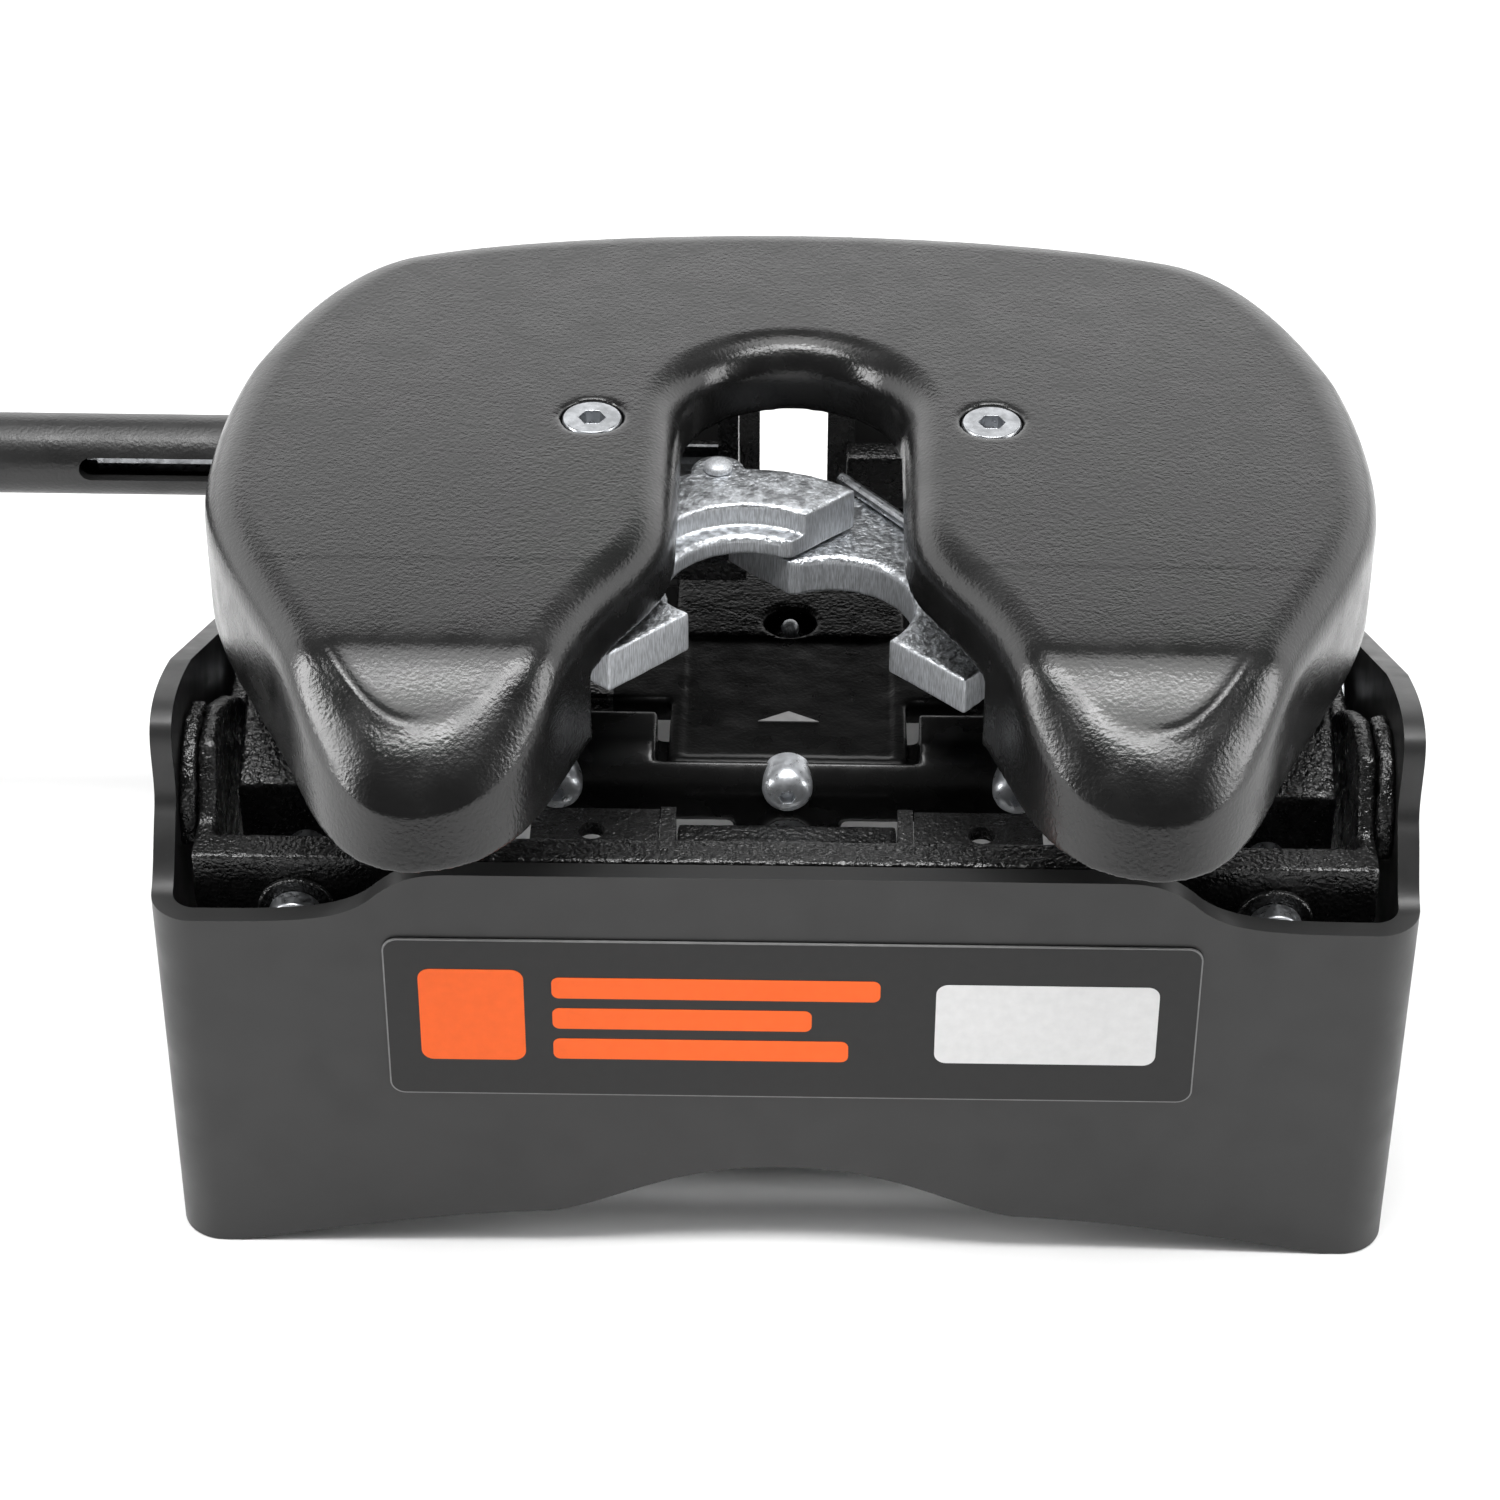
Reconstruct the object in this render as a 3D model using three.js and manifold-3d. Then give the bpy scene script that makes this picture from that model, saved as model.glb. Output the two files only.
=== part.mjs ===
// Fifth wheel hitch for a pickup bed: a bent-plate base with a cast yoke inside, a rocker that
// pitches on two trunnions, and a horseshoe head that rolls on the rocker and holds two jaws.
// Millimetres, +Z up, +X to the right seen from the trailer, +Y towards the truck cab.
// Design numbers use the line through the jaw pivots as Y = 0, the centreline as X = 0 and the
// floor as Z = 0. The outer group moves that frame to the middle of the base of the whole part.
import * as THREE from 'three';
import { mergeVertices } from 'three/addons/utils/BufferGeometryUtils.js';
import Module from 'manifold-3d';

const wasm = await Module();
wasm.setup();

// ---- driving dimensions ----
const gap = 0.3;                    // clearance kept between neighbouring solids
const deg = Math.PI / 180;
const sides = [['left', -1], ['right', 1]];
const ordered = (a, b) => [Math.min(a, b), Math.max(a, b)];
const span = (side, a, b) => ordered(side * a, side * b);

// base
const baseHalf = 204;               // half the outer width of the housing
const rearFace = -136;              // outer face of the rear wall
const frontFace = 176;              // outer face of the front wall
const seamY = 46;                   // where the two bent plates meet
const plate = 7;                    // plate thickness
const bendR = 15;                   // outer bend radius
const cornerZ = 143;                // wall height at the corners
const wallZ = 158.5;                // wall height in the middle of the rear wall
const humpZ = 189;                  // highest point of the side walls

// yoke frame inside the base
const yokeTop = 150;
const yokeBottom = 96;
const yokeHalf = 191;
const yokeRear = -117;
const yokeWall = 12;
const endWall = 6;
const endHumpZ = 172;
const webIn = 36.5;                 // inner faces of the webs on the rear rail
const webOut = 41.5;
const tabFront = -76;               // front edge of the rail's tabs, webs and ledge
const tabBottom = 135;

// rocker
const pivotY = 20;                  // pitch axis, along X
const pivotZ = 118;                 // height of the pitch axis and of the roll axis
const blockOut = 181;
const blockIn = 150;
const beamRear = -64;
const beamFront = -34;
const beamTop = 150;
const beamBottom = 126;
const beamBoltX = 75;
const beamBoltZ = 138;
const shaftR = 8;
const trunnionR = 12;

// head
const deckTop = 245;
const deckUnder = 220;
const skirtZ = 195;
const deckBack = 131.9;             // front edge of the deck, on the cab side
const deckTip = -182;               // rear tips of the two horns
const rampStart = -131;             // the horns slope down from here
const rampEnd = 232;
const deckRound = 12;
const slotHalf = 37;                // throat half-width: 74 mm takes a 73 mm kingpin shoulder
const kingpinY = 8;                 // centre of the locked 50.8 mm kingpin
const legIn = 105;
const legOut = 128;
const carrierTop = 175.5;
const carrierBottom = 168.5;
const carrierStep = 90;             // outside this the carriers stop short of the lock rails

// jaws
const jawPivotX = 66;
const boreR = 26.5;
const jawOuterR = 56.5;
const stepR = 34;
const jawOpen = 46;                 // degrees from locked to open
const upperJaw = { bottom: 201, top: 216, tailReach: 9, tailR: 68 };
const lowerJaw = { bottom: 186.5, top: 200, tailReach: 1.5, tailR: 60 };
const pinReach = 43.4;              // link pin distance from the jaw pivot
const pinOpenAngle = 18.1;          // link pin direction from the jaw pivot when open, degrees
const pinR = 4;
const boltR = 9.2;

// lock yoke and handle
const handleTravel = 44;
const lockTravel = 25.5;
const lockBottom = 177;
const lockTop = 184;
const followerX = -92;
const followerY = 22;
const handleY = 72;
const handleZ = 182;
const tubeR = 14.25;
const tubeBore = 10.5;
const tubeInner = -90;
const tubeOuter = -400;
const camTop = handleZ - tubeR - gap;
const camBottom = camTop - 7;

// ---- solids ----
function solid(geometry) {
  const bare = geometry.clone();
  bare.deleteAttribute('normal');
  bare.deleteAttribute('uv');
  const merged = mergeVertices(bare, 1e-4);
  return new wasm.Manifold(new wasm.Mesh({
    numProp: 3,
    vertProperties: new Float32Array(merged.attributes.position.array),
    triVerts: new Uint32Array(merged.index.array),
  }));
}

function geometryOf(body) {
  const mesh = body.getMesh();
  const geometry = new THREE.BufferGeometry();
  geometry.setAttribute('position', new THREE.BufferAttribute(mesh.vertProperties, 3));
  geometry.setIndex(new THREE.BufferAttribute(mesh.triVerts, 1));
  return geometry;
}

function box(x0, x1, y0, y1, z0, z1) {
  const geometry = new THREE.BoxGeometry(x1 - x0, y1 - y0, z1 - z0);
  geometry.translate((x0 + x1) / 2, (y0 + y1) / 2, (z0 + z1) / 2);
  return solid(geometry);
}

function polygon(points) {
  return new THREE.Shape(points.map(([x, y]) => new THREE.Vector2(x, y)));
}

function prismZ(shape, z0, z1, segments = 8) {
  const geometry = new THREE.ExtrudeGeometry(shape, {
    depth: z1 - z0, bevelEnabled: false, curveSegments: segments,
  });
  geometry.translate(0, 0, z0);
  return solid(geometry);
}

// shape drawn in (Y, Z), extruded along X
function prismX(shape, x0, x1, segments = 8) {
  const geometry = new THREE.ExtrudeGeometry(shape, {
    depth: x1 - x0, bevelEnabled: false, curveSegments: segments,
  });
  const turn = new THREE.Matrix4().makeBasis(
    new THREE.Vector3(0, 1, 0), new THREE.Vector3(0, 0, 1), new THREE.Vector3(1, 0, 0),
  );
  geometry.applyMatrix4(turn);
  geometry.translate(x0, 0, 0);
  return solid(geometry);
}

// shape drawn in (X, Z), extruded along Y
function prismY(shape, y0, y1, segments = 8) {
  const geometry = new THREE.ExtrudeGeometry(shape, {
    depth: y1 - y0, bevelEnabled: false, curveSegments: segments,
  });
  const turn = new THREE.Matrix4().makeBasis(
    new THREE.Vector3(1, 0, 0), new THREE.Vector3(0, 0, 1), new THREE.Vector3(0, -1, 0),
  );
  geometry.applyMatrix4(turn);
  geometry.translate(0, y1, 0);
  return solid(geometry);
}

function cylinderZ(x, y, r, z0, z1, segments = 24) {
  const geometry = new THREE.CylinderGeometry(r, r, z1 - z0, segments);
  geometry.rotateX(Math.PI / 2);
  geometry.translate(x, y, (z0 + z1) / 2);
  return solid(geometry);
}

function cylinderY(x, z, r, y0, y1, segments = 24) {
  const geometry = new THREE.CylinderGeometry(r, r, y1 - y0, segments);
  geometry.translate(x, (y0 + y1) / 2, z);
  return solid(geometry);
}

function cylinderX(y, z, r, x0, x1, segments = 24) {
  const geometry = new THREE.CylinderGeometry(r, r, x1 - x0, segments);
  geometry.rotateZ(-Math.PI / 2);
  geometry.translate((x0 + x1) / 2, y, z);
  return solid(geometry);
}

// profile of [radius, height] pairs, bottom to top, turned about the line through (x, y)
function turnedZ(x, y, profile, segments = 24) {
  const points = profile.map(([r, z]) => new THREE.Vector2(r, z));
  const geometry = new THREE.LatheGeometry(points, segments);
  geometry.rotateX(Math.PI / 2);
  geometry.translate(x, y, 0);
  return solid(geometry);
}

// profile of [radius, distance] pairs turned about the Y line through (x, z); distance runs to -Y
function turnedY(x, y, z, profile, segments = 24) {
  const points = profile.map(([r, d]) => new THREE.Vector2(r, d));
  const geometry = new THREE.LatheGeometry(points, segments);
  geometry.rotateX(Math.PI);
  geometry.translate(x, y, z);
  return solid(geometry);
}

function ringZ(x, y, inner, outer, z0, z1, segments = 24) {
  return cylinderZ(x, y, outer, z0, z1, segments)
    .subtract(cylinderZ(x, y, inner, z0 - 1, z1 + 1, segments));
}

// ---- materials and nodes ----
const finishes = {
  powder: { color: 0x4a4c4b, roughness: 0.5, metalness: 0.2 },
  deck: { color: 0x5a5a5a, roughness: 0.45, metalness: 0.2 },
  casting: { color: 0x111111, roughness: 0.55, metalness: 0.2 },
  zinc: { color: 0xc4c8cc, roughness: 0.35, metalness: 1 },
  polymer: { color: 0x1d1f22, roughness: 0.8, metalness: 0 },
  label: { color: 0x3c3c3e, roughness: 0.5, metalness: 0 },
  rubber: { color: 0x151515, roughness: 0.9, metalness: 0 },
};

const hitch = new THREE.Group();

function add(name, body, finish, parent = hitch) {
  const mesh = new THREE.Mesh(geometryOf(body), new THREE.MeshStandardMaterial(finishes[finish]));
  mesh.name = name;
  parent.add(mesh);
  return mesh;
}

// ---- base housing ----
// plan of a bent plate: a U with rounded outer bends, open at the seam
function wallPlan(face, seam) {
  const way = Math.sign(seam - face);
  const trace = (half, y, r) => {
    const cornerY = y + way * r;
    return [
      [-half, seam],
      ...bend(-half + r, cornerY, r, 180, 180 + way * 90),
      ...bend(half - r, cornerY, r, 180 + way * 90, 180 + way * 180),
      [half, seam],
    ];
  };
  const outside = trace(baseHalf, face, bendR);
  const inside = trace(baseHalf - plate, face + way * plate, bendR - plate);
  return polygon([...outside, ...inside.reverse()]);
}

function bend(cx, cy, r, from, to, steps = 4) {
  const points = [];
  for (let i = 0; i <= steps; i += 1) {
    const angle = (from + (to - from) * i / steps) * deg;
    points.push([cx + r * Math.cos(angle), cy + r * Math.sin(angle)]);
  }
  return points;
}

// side view of the wall arms, in (Y, Z)
function rearArmProfile() {
  const shape = new THREE.Shape();
  shape.moveTo(rearFace - 1, 0);
  shape.lineTo(rearFace - 1, cornerZ);
  shape.bezierCurveTo(rearFace + 18, cornerZ + 3, rearFace + 24, cornerZ + 8, rearFace + 34, 158);
  shape.bezierCurveTo(rearFace + 41, 166, rearFace + 32, 184, rearFace + 43, 188);
  shape.bezierCurveTo(rearFace + 52, 192, rearFace + 70, 186, rearFace + 86, 180);
  shape.lineTo(seamY, 131);
  shape.lineTo(seamY, 0);
  return shape;
}

function frontArmProfile() {
  const shape = new THREE.Shape();
  shape.moveTo(seamY, 0);
  shape.lineTo(seamY, 131);
  shape.lineTo(seamY + 40, 137);
  shape.bezierCurveTo(seamY + 58, 140, seamY + 66, 152, seamY + 84, 151);
  shape.bezierCurveTo(seamY + 98, 150, frontFace - 20, cornerZ + 2, frontFace + 1, cornerZ);
  shape.lineTo(frontFace + 1, 0);
  return shape;
}

// rear view of the end wall, in (X, Z): raised middle, dipped corners
function wallProfile(top) {
  const corner = baseHalf - bendR;
  const shape = new THREE.Shape();
  shape.moveTo(-corner, 0);
  shape.lineTo(-corner, 137);
  shape.bezierCurveTo(-150, 135, -138, 137, -128, 144);
  shape.bezierCurveTo(-121, 150, -116, top, -104, top);
  shape.lineTo(104, top);
  shape.bezierCurveTo(116, top, 121, 150, 128, 144);
  shape.bezierCurveTo(138, 137, 150, 135, corner, 137);
  shape.lineTo(corner, 0);
  return shape;
}

// relief along the bottom edge of the rear wall: a shallow bow with a deeper arch in the middle
function bottomRelief(depthY0, depthY1) {
  const shape = new THREE.Shape();
  shape.moveTo(-188, -1);
  shape.lineTo(188, -1);
  shape.bezierCurveTo(150, 6, 110, 14, 78, 15);
  shape.bezierCurveTo(58, 18, 40, 36, 0, 36);
  shape.bezierCurveTo(-40, 36, -58, 18, -78, 15);
  shape.bezierCurveTo(-110, 14, -150, 6, -188, -1);
  return prismY(shape, depthY0, depthY1, 6);
}

function housing(face, seam, armProfile, top) {
  const shell = prismZ(wallPlan(face, seam), 0, humpZ + 4);
  const corner = baseHalf - bendR;
  const way = Math.sign(seam - face);
  const [y0, y1] = ordered(face - way, face + way * bendR);
  const arms = prismX(armProfile, -baseHalf - 1, -corner, 5)
    .add(prismX(armProfile, corner, baseHalf + 1, 5));
  const wall = prismY(wallProfile(top), y0, y1, 6);
  return shell.intersect(arms.add(wall));
}

const rearPlate = housing(rearFace, seamY, rearArmProfile(), wallZ)
  .subtract(bottomRelief(rearFace - 1, rearFace + bendR));
add('rear_housing_plate', rearPlate, 'powder');

const windowHalf = 20;
const windowZ = 100;
const frontPlate = housing(frontFace, seamY + gap, frontArmProfile(), wallZ)
  .subtract(box(-windowHalf, windowHalf, frontFace - 20, frontFace + 2, windowZ, wallZ + 5));
add('front_housing_plate', frontPlate, 'powder');

// ---- cast yoke frame ----
// end wall seen from the side, in (Y, Z): rises from the rear rail to a hump, then runs forward
function endWallProfile() {
  const front = 2 * pivotY - yokeRear;
  const shape = new THREE.Shape();
  shape.moveTo(yokeRear, yokeBottom);
  shape.lineTo(yokeRear, yokeTop);
  shape.lineTo(yokeRear + yokeWall + 6, yokeTop);
  shape.quadraticCurveTo(yokeRear + 24, 160, yokeRear + 32, endHumpZ);
  shape.lineTo(yokeRear + 52, endHumpZ);
  shape.quadraticCurveTo(yokeRear + 84, 156, yokeRear + 96, 142);
  shape.lineTo(front - 60, 138);
  shape.lineTo(front, 138);
  shape.lineTo(front, yokeBottom);
  return shape;
}

const yokeFront = 2 * pivotY - yokeRear;
const endIn = yokeHalf - endWall;
let yokeFrame = box(-yokeHalf, yokeHalf, yokeRear, yokeRear + yokeWall, yokeBottom, yokeTop)
  .add(box(-yokeHalf, yokeHalf, yokeFront - yokeWall, yokeFront, yokeBottom, 138))
  .add(box(-webIn + gap, webIn - gap, yokeRear + 1, tabFront, 126, tabBottom - 0.4))
  .subtract(box(-20, 20, yokeFront - 20, yokeFront + 2, windowZ, yokeTop));
for (const [, side] of sides) {
  const [x0, x1] = span(side, endIn, yokeHalf);
  const boss = cylinderX(pivotY, pivotZ, 26, x0, x1);
  yokeFrame = yokeFrame.add(prismX(endWallProfile(), x0, x1, 4)).add(boss)
    .subtract(cylinderX(pivotY, pivotZ, trunnionR + 4 + gap, x0 - 1, x1 + 1));
}
const clampX = 158;
const clampZ = 130;
const clampR = 6.5;
const frontClampZ = clampZ - 14;
const clampNutR = 11;
for (const [, side] of sides) {
  yokeFrame = yokeFrame
    .subtract(cylinderY(side * clampX, clampZ, clampR + gap, yokeRear - 1, yokeRear + yokeWall + 1))
    .subtract(cylinderY(side * clampX, frontClampZ, clampR + gap, yokeFront - yokeWall - 1,
      yokeFront + 1));
}
add('yoke_frame', yokeFrame, 'casting');

// weld beads between the yoke end walls and the side plates
for (const [name, side] of sides) {
  const profile = new THREE.Shape();
  profile.moveTo(yokeRear + 16, 142);
  profile.bezierCurveTo(yokeRear + 16, 158, yokeRear + 24, 173, yokeRear + 44, 174);
  profile.lineTo(yokeRear + 58, 170);
  profile.lineTo(yokeRear + 52, 163);
  profile.bezierCurveTo(yokeRear + 34, 166, yokeRear + 27, 156, yokeRear + 26, 142);
  const [x0, x1] = span(side, yokeHalf + gap, baseHalf - plate - gap);
  add(`yoke_weld_${name}`, prismX(profile, x0, x1, 6), 'casting');
}

// clamp bolts along Y with their washers, two behind and two in front
const washerR = 12.5;
for (const [name, side] of sides) {
  const x = side * clampX;
  const rear = cylinderY(x, clampZ, clampR, yokeRear - 10, yokeRear + yokeWall + 8)
    .add(cylinderY(x, clampZ, clampNutR, yokeRear + yokeWall + gap, yokeRear + yokeWall + 9, 6));
  const rearWasher = cylinderY(x, clampZ, washerR, yokeRear - 2.5 - gap, yokeRear - gap)
    .subtract(cylinderY(x, clampZ, clampR + gap, yokeRear - 5, yokeRear));
  add(`clamp_bolt_rear_${name}`, rear, 'zinc');
  add(`clamp_washer_rear_${name}`, rearWasher, 'casting');
  const z = frontClampZ;
  const front = cylinderY(x, z, clampR, yokeFront - yokeWall - 8, yokeFront + 8)
    .add(cylinderY(x, z, clampNutR, yokeFront - yokeWall - 9, yokeFront - yokeWall - gap, 6));
  const frontWasher = cylinderY(x, z, washerR, yokeFront + gap, yokeFront + 2.5 + gap)
    .subtract(cylinderY(x, z, clampR + gap, yokeFront, yokeFront + 5));
  add(`clamp_bolt_front_${name}`, front, 'zinc');
  add(`clamp_washer_front_${name}`, frontWasher, 'casting');
}

// flat tabs with a hole and upright webs on the inside of the rear rail
const railIn = yokeRear + yokeWall + gap;
const tab = { in: 42, out: 84, thick: 5, holeX: 64, holeY: -88, holeR: 4.5 };
const web = { bottom: 108, top: 141 };
for (const [name, side] of sides) {
  const [x0, x1] = span(side, tab.in, tab.out);
  const drilled = box(x0, x1, railIn, tabFront, tabBottom, tabBottom + tab.thick)
    .subtract(cylinderZ(side * tab.holeX, tab.holeY, tab.holeR, tabBottom - 1, tabBottom + 10, 16));
  add(`rail_tab_${name}`, drilled, 'casting');
  const [w0, w1] = span(side, webIn, webOut);
  add(`rail_web_${name}`, box(w0, w1, railIn, tabFront, web.bottom, web.top), 'casting');
}

// upright ribs behind the opening in the front wall
const rib = { in: 12.8, out: 23, bottom: 60, top: 150 };
for (const [name, side] of sides) {
  const [x0, x1] = span(side, rib.in, rib.out);
  const behind = frontFace - plate - gap;
  add(`front_rib_${name}`, box(x0, x1, yokeFront + gap, behind, rib.bottom, rib.top), 'casting');
}

// rectangular name plate with rounded corners on the rear wall
function roundedRect(x0, x1, z0, z1, r) {
  const shape = new THREE.Shape();
  shape.moveTo(x0 + r, z0);
  shape.lineTo(x1 - r, z0);
  shape.absarc(x1 - r, z0 + r, r, -Math.PI / 2, 0, false);
  shape.lineTo(x1, z1 - r);
  shape.absarc(x1 - r, z1 - r, r, 0, Math.PI / 2, false);
  shape.lineTo(x0 + r, z1);
  shape.absarc(x0 + r, z1 - r, r, Math.PI / 2, Math.PI, false);
  shape.lineTo(x0, z0 + r);
  shape.absarc(x0 + r, z0 + r, r, Math.PI, Math.PI * 1.5, false);
  return shape;
}
add('name_plate', prismY(roundedRect(-129, 134, 68, 133, 5), rearFace - 1.1, rearFace - gap, 3), 'label');

// polymer bushes in the yoke bosses
for (const [name, side] of sides) {
  const [x0, x1] = span(side, endIn - 1, yokeHalf);
  const bush = cylinderX(pivotY, pivotZ, trunnionR + 4, x0, x1)
    .subtract(cylinderX(pivotY, pivotZ, trunnionR + gap, x0 - 1, x1 + 1));
  add(`trunnion_bush_${name}`, bush, 'polymer');
}

// ---- rocker ----
function blockProfile() {
  const shape = new THREE.Shape();
  shape.moveTo(-76, 104);
  shape.lineTo(-76, 148);
  shape.lineTo(-34, 165);
  shape.quadraticCurveTo(-22, 170, -6, 167);
  shape.lineTo(42, 148);
  shape.lineTo(112, 140);
  shape.lineTo(112, 104);
  return shape;
}
for (const [name, side] of sides) {
  const [x0, x1] = span(side, blockIn, blockOut);
  const block = prismX(blockProfile(), x0, x1, 4)
    .subtract(cylinderX(pivotY, pivotZ, trunnionR + gap, x0 - 1, x1 + 1));
  add(`trunnion_block_${name}`, block, 'casting');
  const [p0, p1] = span(side, blockIn + 1, yokeHalf + 3);
  add(`trunnion_pin_${name}`, cylinderX(pivotY, pivotZ, trunnionR, p0, p1), 'zinc');
}

// beam across the rocker; the middle is cut down to let the head casting dip into it
function crossBeam(way) {
  const near = pivotY + way * (pivotY - beamFront);
  const far = pivotY + way * (pivotY - beamRear);
  const [y0, y1] = ordered(near, far);
  const edge = way > 0 ? y1 : y0;
  const profile = new THREE.Shape();
  const round = 9;
  profile.moveTo(near, beamBottom);
  profile.lineTo(far, beamBottom);
  profile.lineTo(far, beamTop - round);
  profile.quadraticCurveTo(far, beamTop, far - way * round, beamTop);
  profile.lineTo(near, beamTop);
  const half = blockIn - gap;
  const pocket = ordered(near - way, far - way * 6);
  return prismX(profile, -half, half, 5)
    .subtract(box(-44, 44, pocket[0], pocket[1], 137.5, beamTop + 1))
    .add(box(-18, 18, y0, y1, 104, beamBottom + 1))
    .subtract(cylinderY(0, pivotZ, shaftR + gap, y0 - 1, y1 + 1))
    .subtract(beamBoltHoles(edge, way));
}

function beamBoltHoles(edge, way) {
  const [y0, y1] = ordered(edge + way, edge - way * 5.5);
  let holes = cylinderY(0, beamBoltZ, 4.3, y0, y1, 12);
  for (const side of [-1, 1]) {
    holes = holes.add(cylinderY(side * beamBoltX, beamBoltZ, 4.3, y0, y1, 12));
  }
  return holes;
}
add('rear_cross_beam', crossBeam(-1), 'powder');
add('front_cross_beam', crossBeam(1), 'powder');

// button head bolts in the rear beam
const buttonProfile = [[0, -5], [4, -5], [4, 0.3], [8, 0.3], [7.6, 2.4], [6, 4.4], [3, 5.6], [0, 6]];
for (const [name, x] of [['left', -beamBoltX], ['middle', 0], ['right', beamBoltX]]) {
  add(`beam_bolt_${name}`, turnedY(x, beamRear, beamBoltZ, buttonProfile, 16), 'zinc');
}
add('roll_shaft', cylinderY(0, pivotZ, shaftR, beamRear + 2, 2 * pivotY - beamRear - 2), 'zinc');

// ---- head ----
function deckOutline() {
  const half = [
    [[0, deckBack], [55, 131.5], [105, 124.5], [135, 113.5]],
    [[135, 113.5], [159, 104], [174, 70], [184, 38]],
    [[184, 38], [190, 14], [193, -24], [189, -46]],
    [[189, -46], [184, -74], [166, -104], [155, -131]],
    [[155, -131], [147, -150], [138, deckTip], [113, deckTip]],
    [[113, deckTip], [91, deckTip], [78, -164], [71, -142]],
    [[71, -142], [65, -124], [60, -106], [50, -90]],
    [[50, -90], [42, -77], [slotHalf, -68], [slotHalf, -50]],
  ];
  const shape = new THREE.Shape();
  shape.moveTo(0, deckBack);
  for (const [, a, b, end] of half) {
    shape.bezierCurveTo(a[0], a[1], b[0], b[1], end[0], end[1]);
  }
  shape.lineTo(slotHalf, kingpinY);
  shape.absarc(0, kingpinY, slotHalf, 0, Math.PI, false);
  shape.lineTo(-slotHalf, -50);
  for (const [start, a, b] of [...half].reverse()) {
    shape.bezierCurveTo(-b[0], b[1], -a[0], a[1], -start[0], start[1]);
  }
  return shape;
}

// space under the deck: the outline less the skirt wall, open across the throat
function cavityOutline() {
  const half = [
    [[0, 122.5], [52, 122], [101, 115.5], [129, 105.5]],
    [[129, 105.5], [151, 97], [165, 66], [174.5, 36]],
    [[174.5, 36], [180, 14], [183, -24], [180, -44]],
    [[180, -44], [175, -70], [158, -98], [146, -127]],
    [[146, -127], [139, -143], [131, -172.5], [113, -172.5]],
    [[113, -172.5], [98, -172.5], [86, -160], [80, -142]],
    [[80, -142], [78, -134], [77, -124], [76, -112]],
  ];
  const shape = new THREE.Shape();
  shape.moveTo(0, 122.5);
  for (const [, a, b, end] of half) {
    shape.bezierCurveTo(a[0], a[1], b[0], b[1], end[0], end[1]);
  }
  shape.lineTo(-76, -112);
  for (const [start, a, b] of [...half].reverse()) {
    shape.bezierCurveTo(-b[0], b[1], -a[0], a[1], -start[0], start[1]);
  }
  return shape;
}

function deckCasting() {
  const rough = new THREE.ExtrudeGeometry(deckOutline(), {
    depth: deckTop - skirtZ, bevelEnabled: true, bevelThickness: deckRound,
    bevelSize: deckRound, bevelOffset: -deckRound, bevelSegments: 3, curveSegments: 5,
  });
  rough.translate(0, 0, skirtZ - deckRound);
  const ramp = polygon([
    [140, skirtZ], [140, deckTop + 1], [rampStart, deckTop + 1], [rampStart - 3, deckTop - 0.6],
    [-168, rampEnd + 1], [-173, rampEnd - 1], [-179.5, rampEnd - 5], [deckTip - 1, rampEnd - 12],
    [deckTip - 1, skirtZ],
  ]);
  const under = polygon([
    [125, skirtZ - 1], [125, deckUnder], [-120, deckUnder], [-168, 212], [-174, skirtZ - 1],
  ]);
  let deck = solid(rough).intersect(prismX(ramp, -200, 200))
    .subtract(prismZ(cavityOutline(), skirtZ - 2, deckUnder + 1, 6).intersect(prismX(under, -200, 200)));
  for (const [, side] of sides) {
    const seat = turnedZ(side * jawPivotX, 0, [
      [0, deckUnder - 2], [boltR + gap, deckUnder - 2], [boltR + gap, deckTop - 7],
      [boltR + 1.2, deckTop - 6], [boltR + 1.2, deckTop + 2], [0, deckTop + 2],
    ]);
    deck = deck.subtract(seat);
  }
  return deck.subtract(cylinderX(handleY, handleZ, tubeR + 2.5, -baseHalf, -140));
}
const deckMesh = add('deck_casting', deckCasting(), 'deck');

// casting under the deck: two legs, the jaw carriers, the tray below the throat and the roll hub
const trayHalf = 40;
const trayRear = -57;
const trayFront = 68;
const grease = { x: 0, y: 25.5, r: 9.2 };
function headSaddle() {
  const legProfile = polygon([
    [-70, 160], [-70, deckUnder - gap], [6, deckUnder - gap], [6, 136], [-28, 136], [-28, 160],
  ]);
  let body = box(-legOut, legOut, -22, 6, 136, 146)
    .add(box(-trayHalf, trayHalf, trayRear, trayFront, 141, 146))
    .add(box(-8, 8, -32, 71, 126, 143))
    .add(cylinderY(0, pivotZ, 16, -32, 71));
  for (const [, side] of sides) {
    const [x0, x1] = span(side, legIn, legOut);
    const [c0, c1] = span(side, 46, carrierStep);
    const [e0, e1] = span(side, carrierStep - 1, legOut);
    body = body.add(prismX(legProfile, x0, x1))
      .add(box(c0, c1, -36, 11.5, carrierBottom, carrierTop))
      .add(box(e0, e1, -36, 6, carrierBottom, carrierTop))
      .subtract(cylinderZ(side * jawPivotX, 0, boltR + gap, carrierBottom - 1, carrierTop + 1));
  }
  return body
    .subtract(cylinderY(0, pivotZ, 11 + gap, -40, 80))
    .subtract(cylinderZ(grease.x, grease.y, grease.r, 136, 150, 20));
}
add('head_saddle', headSaddle(), 'casting');
const rollBush = cylinderY(0, pivotZ, 11, -31, 70).subtract(cylinderY(0, pivotZ, shaftR + gap, -32, 71));
add('roll_bush', rollBush, 'polymer');
add('grease_fitting', turnedZ(grease.x, grease.y, [
  [0, 136.4], [3.6, 136.4], [3.6, 139], [2.4, 139.6], [3.2, 143], [2.6, 145.4], [0, 146],
], 12), 'zinc');

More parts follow.
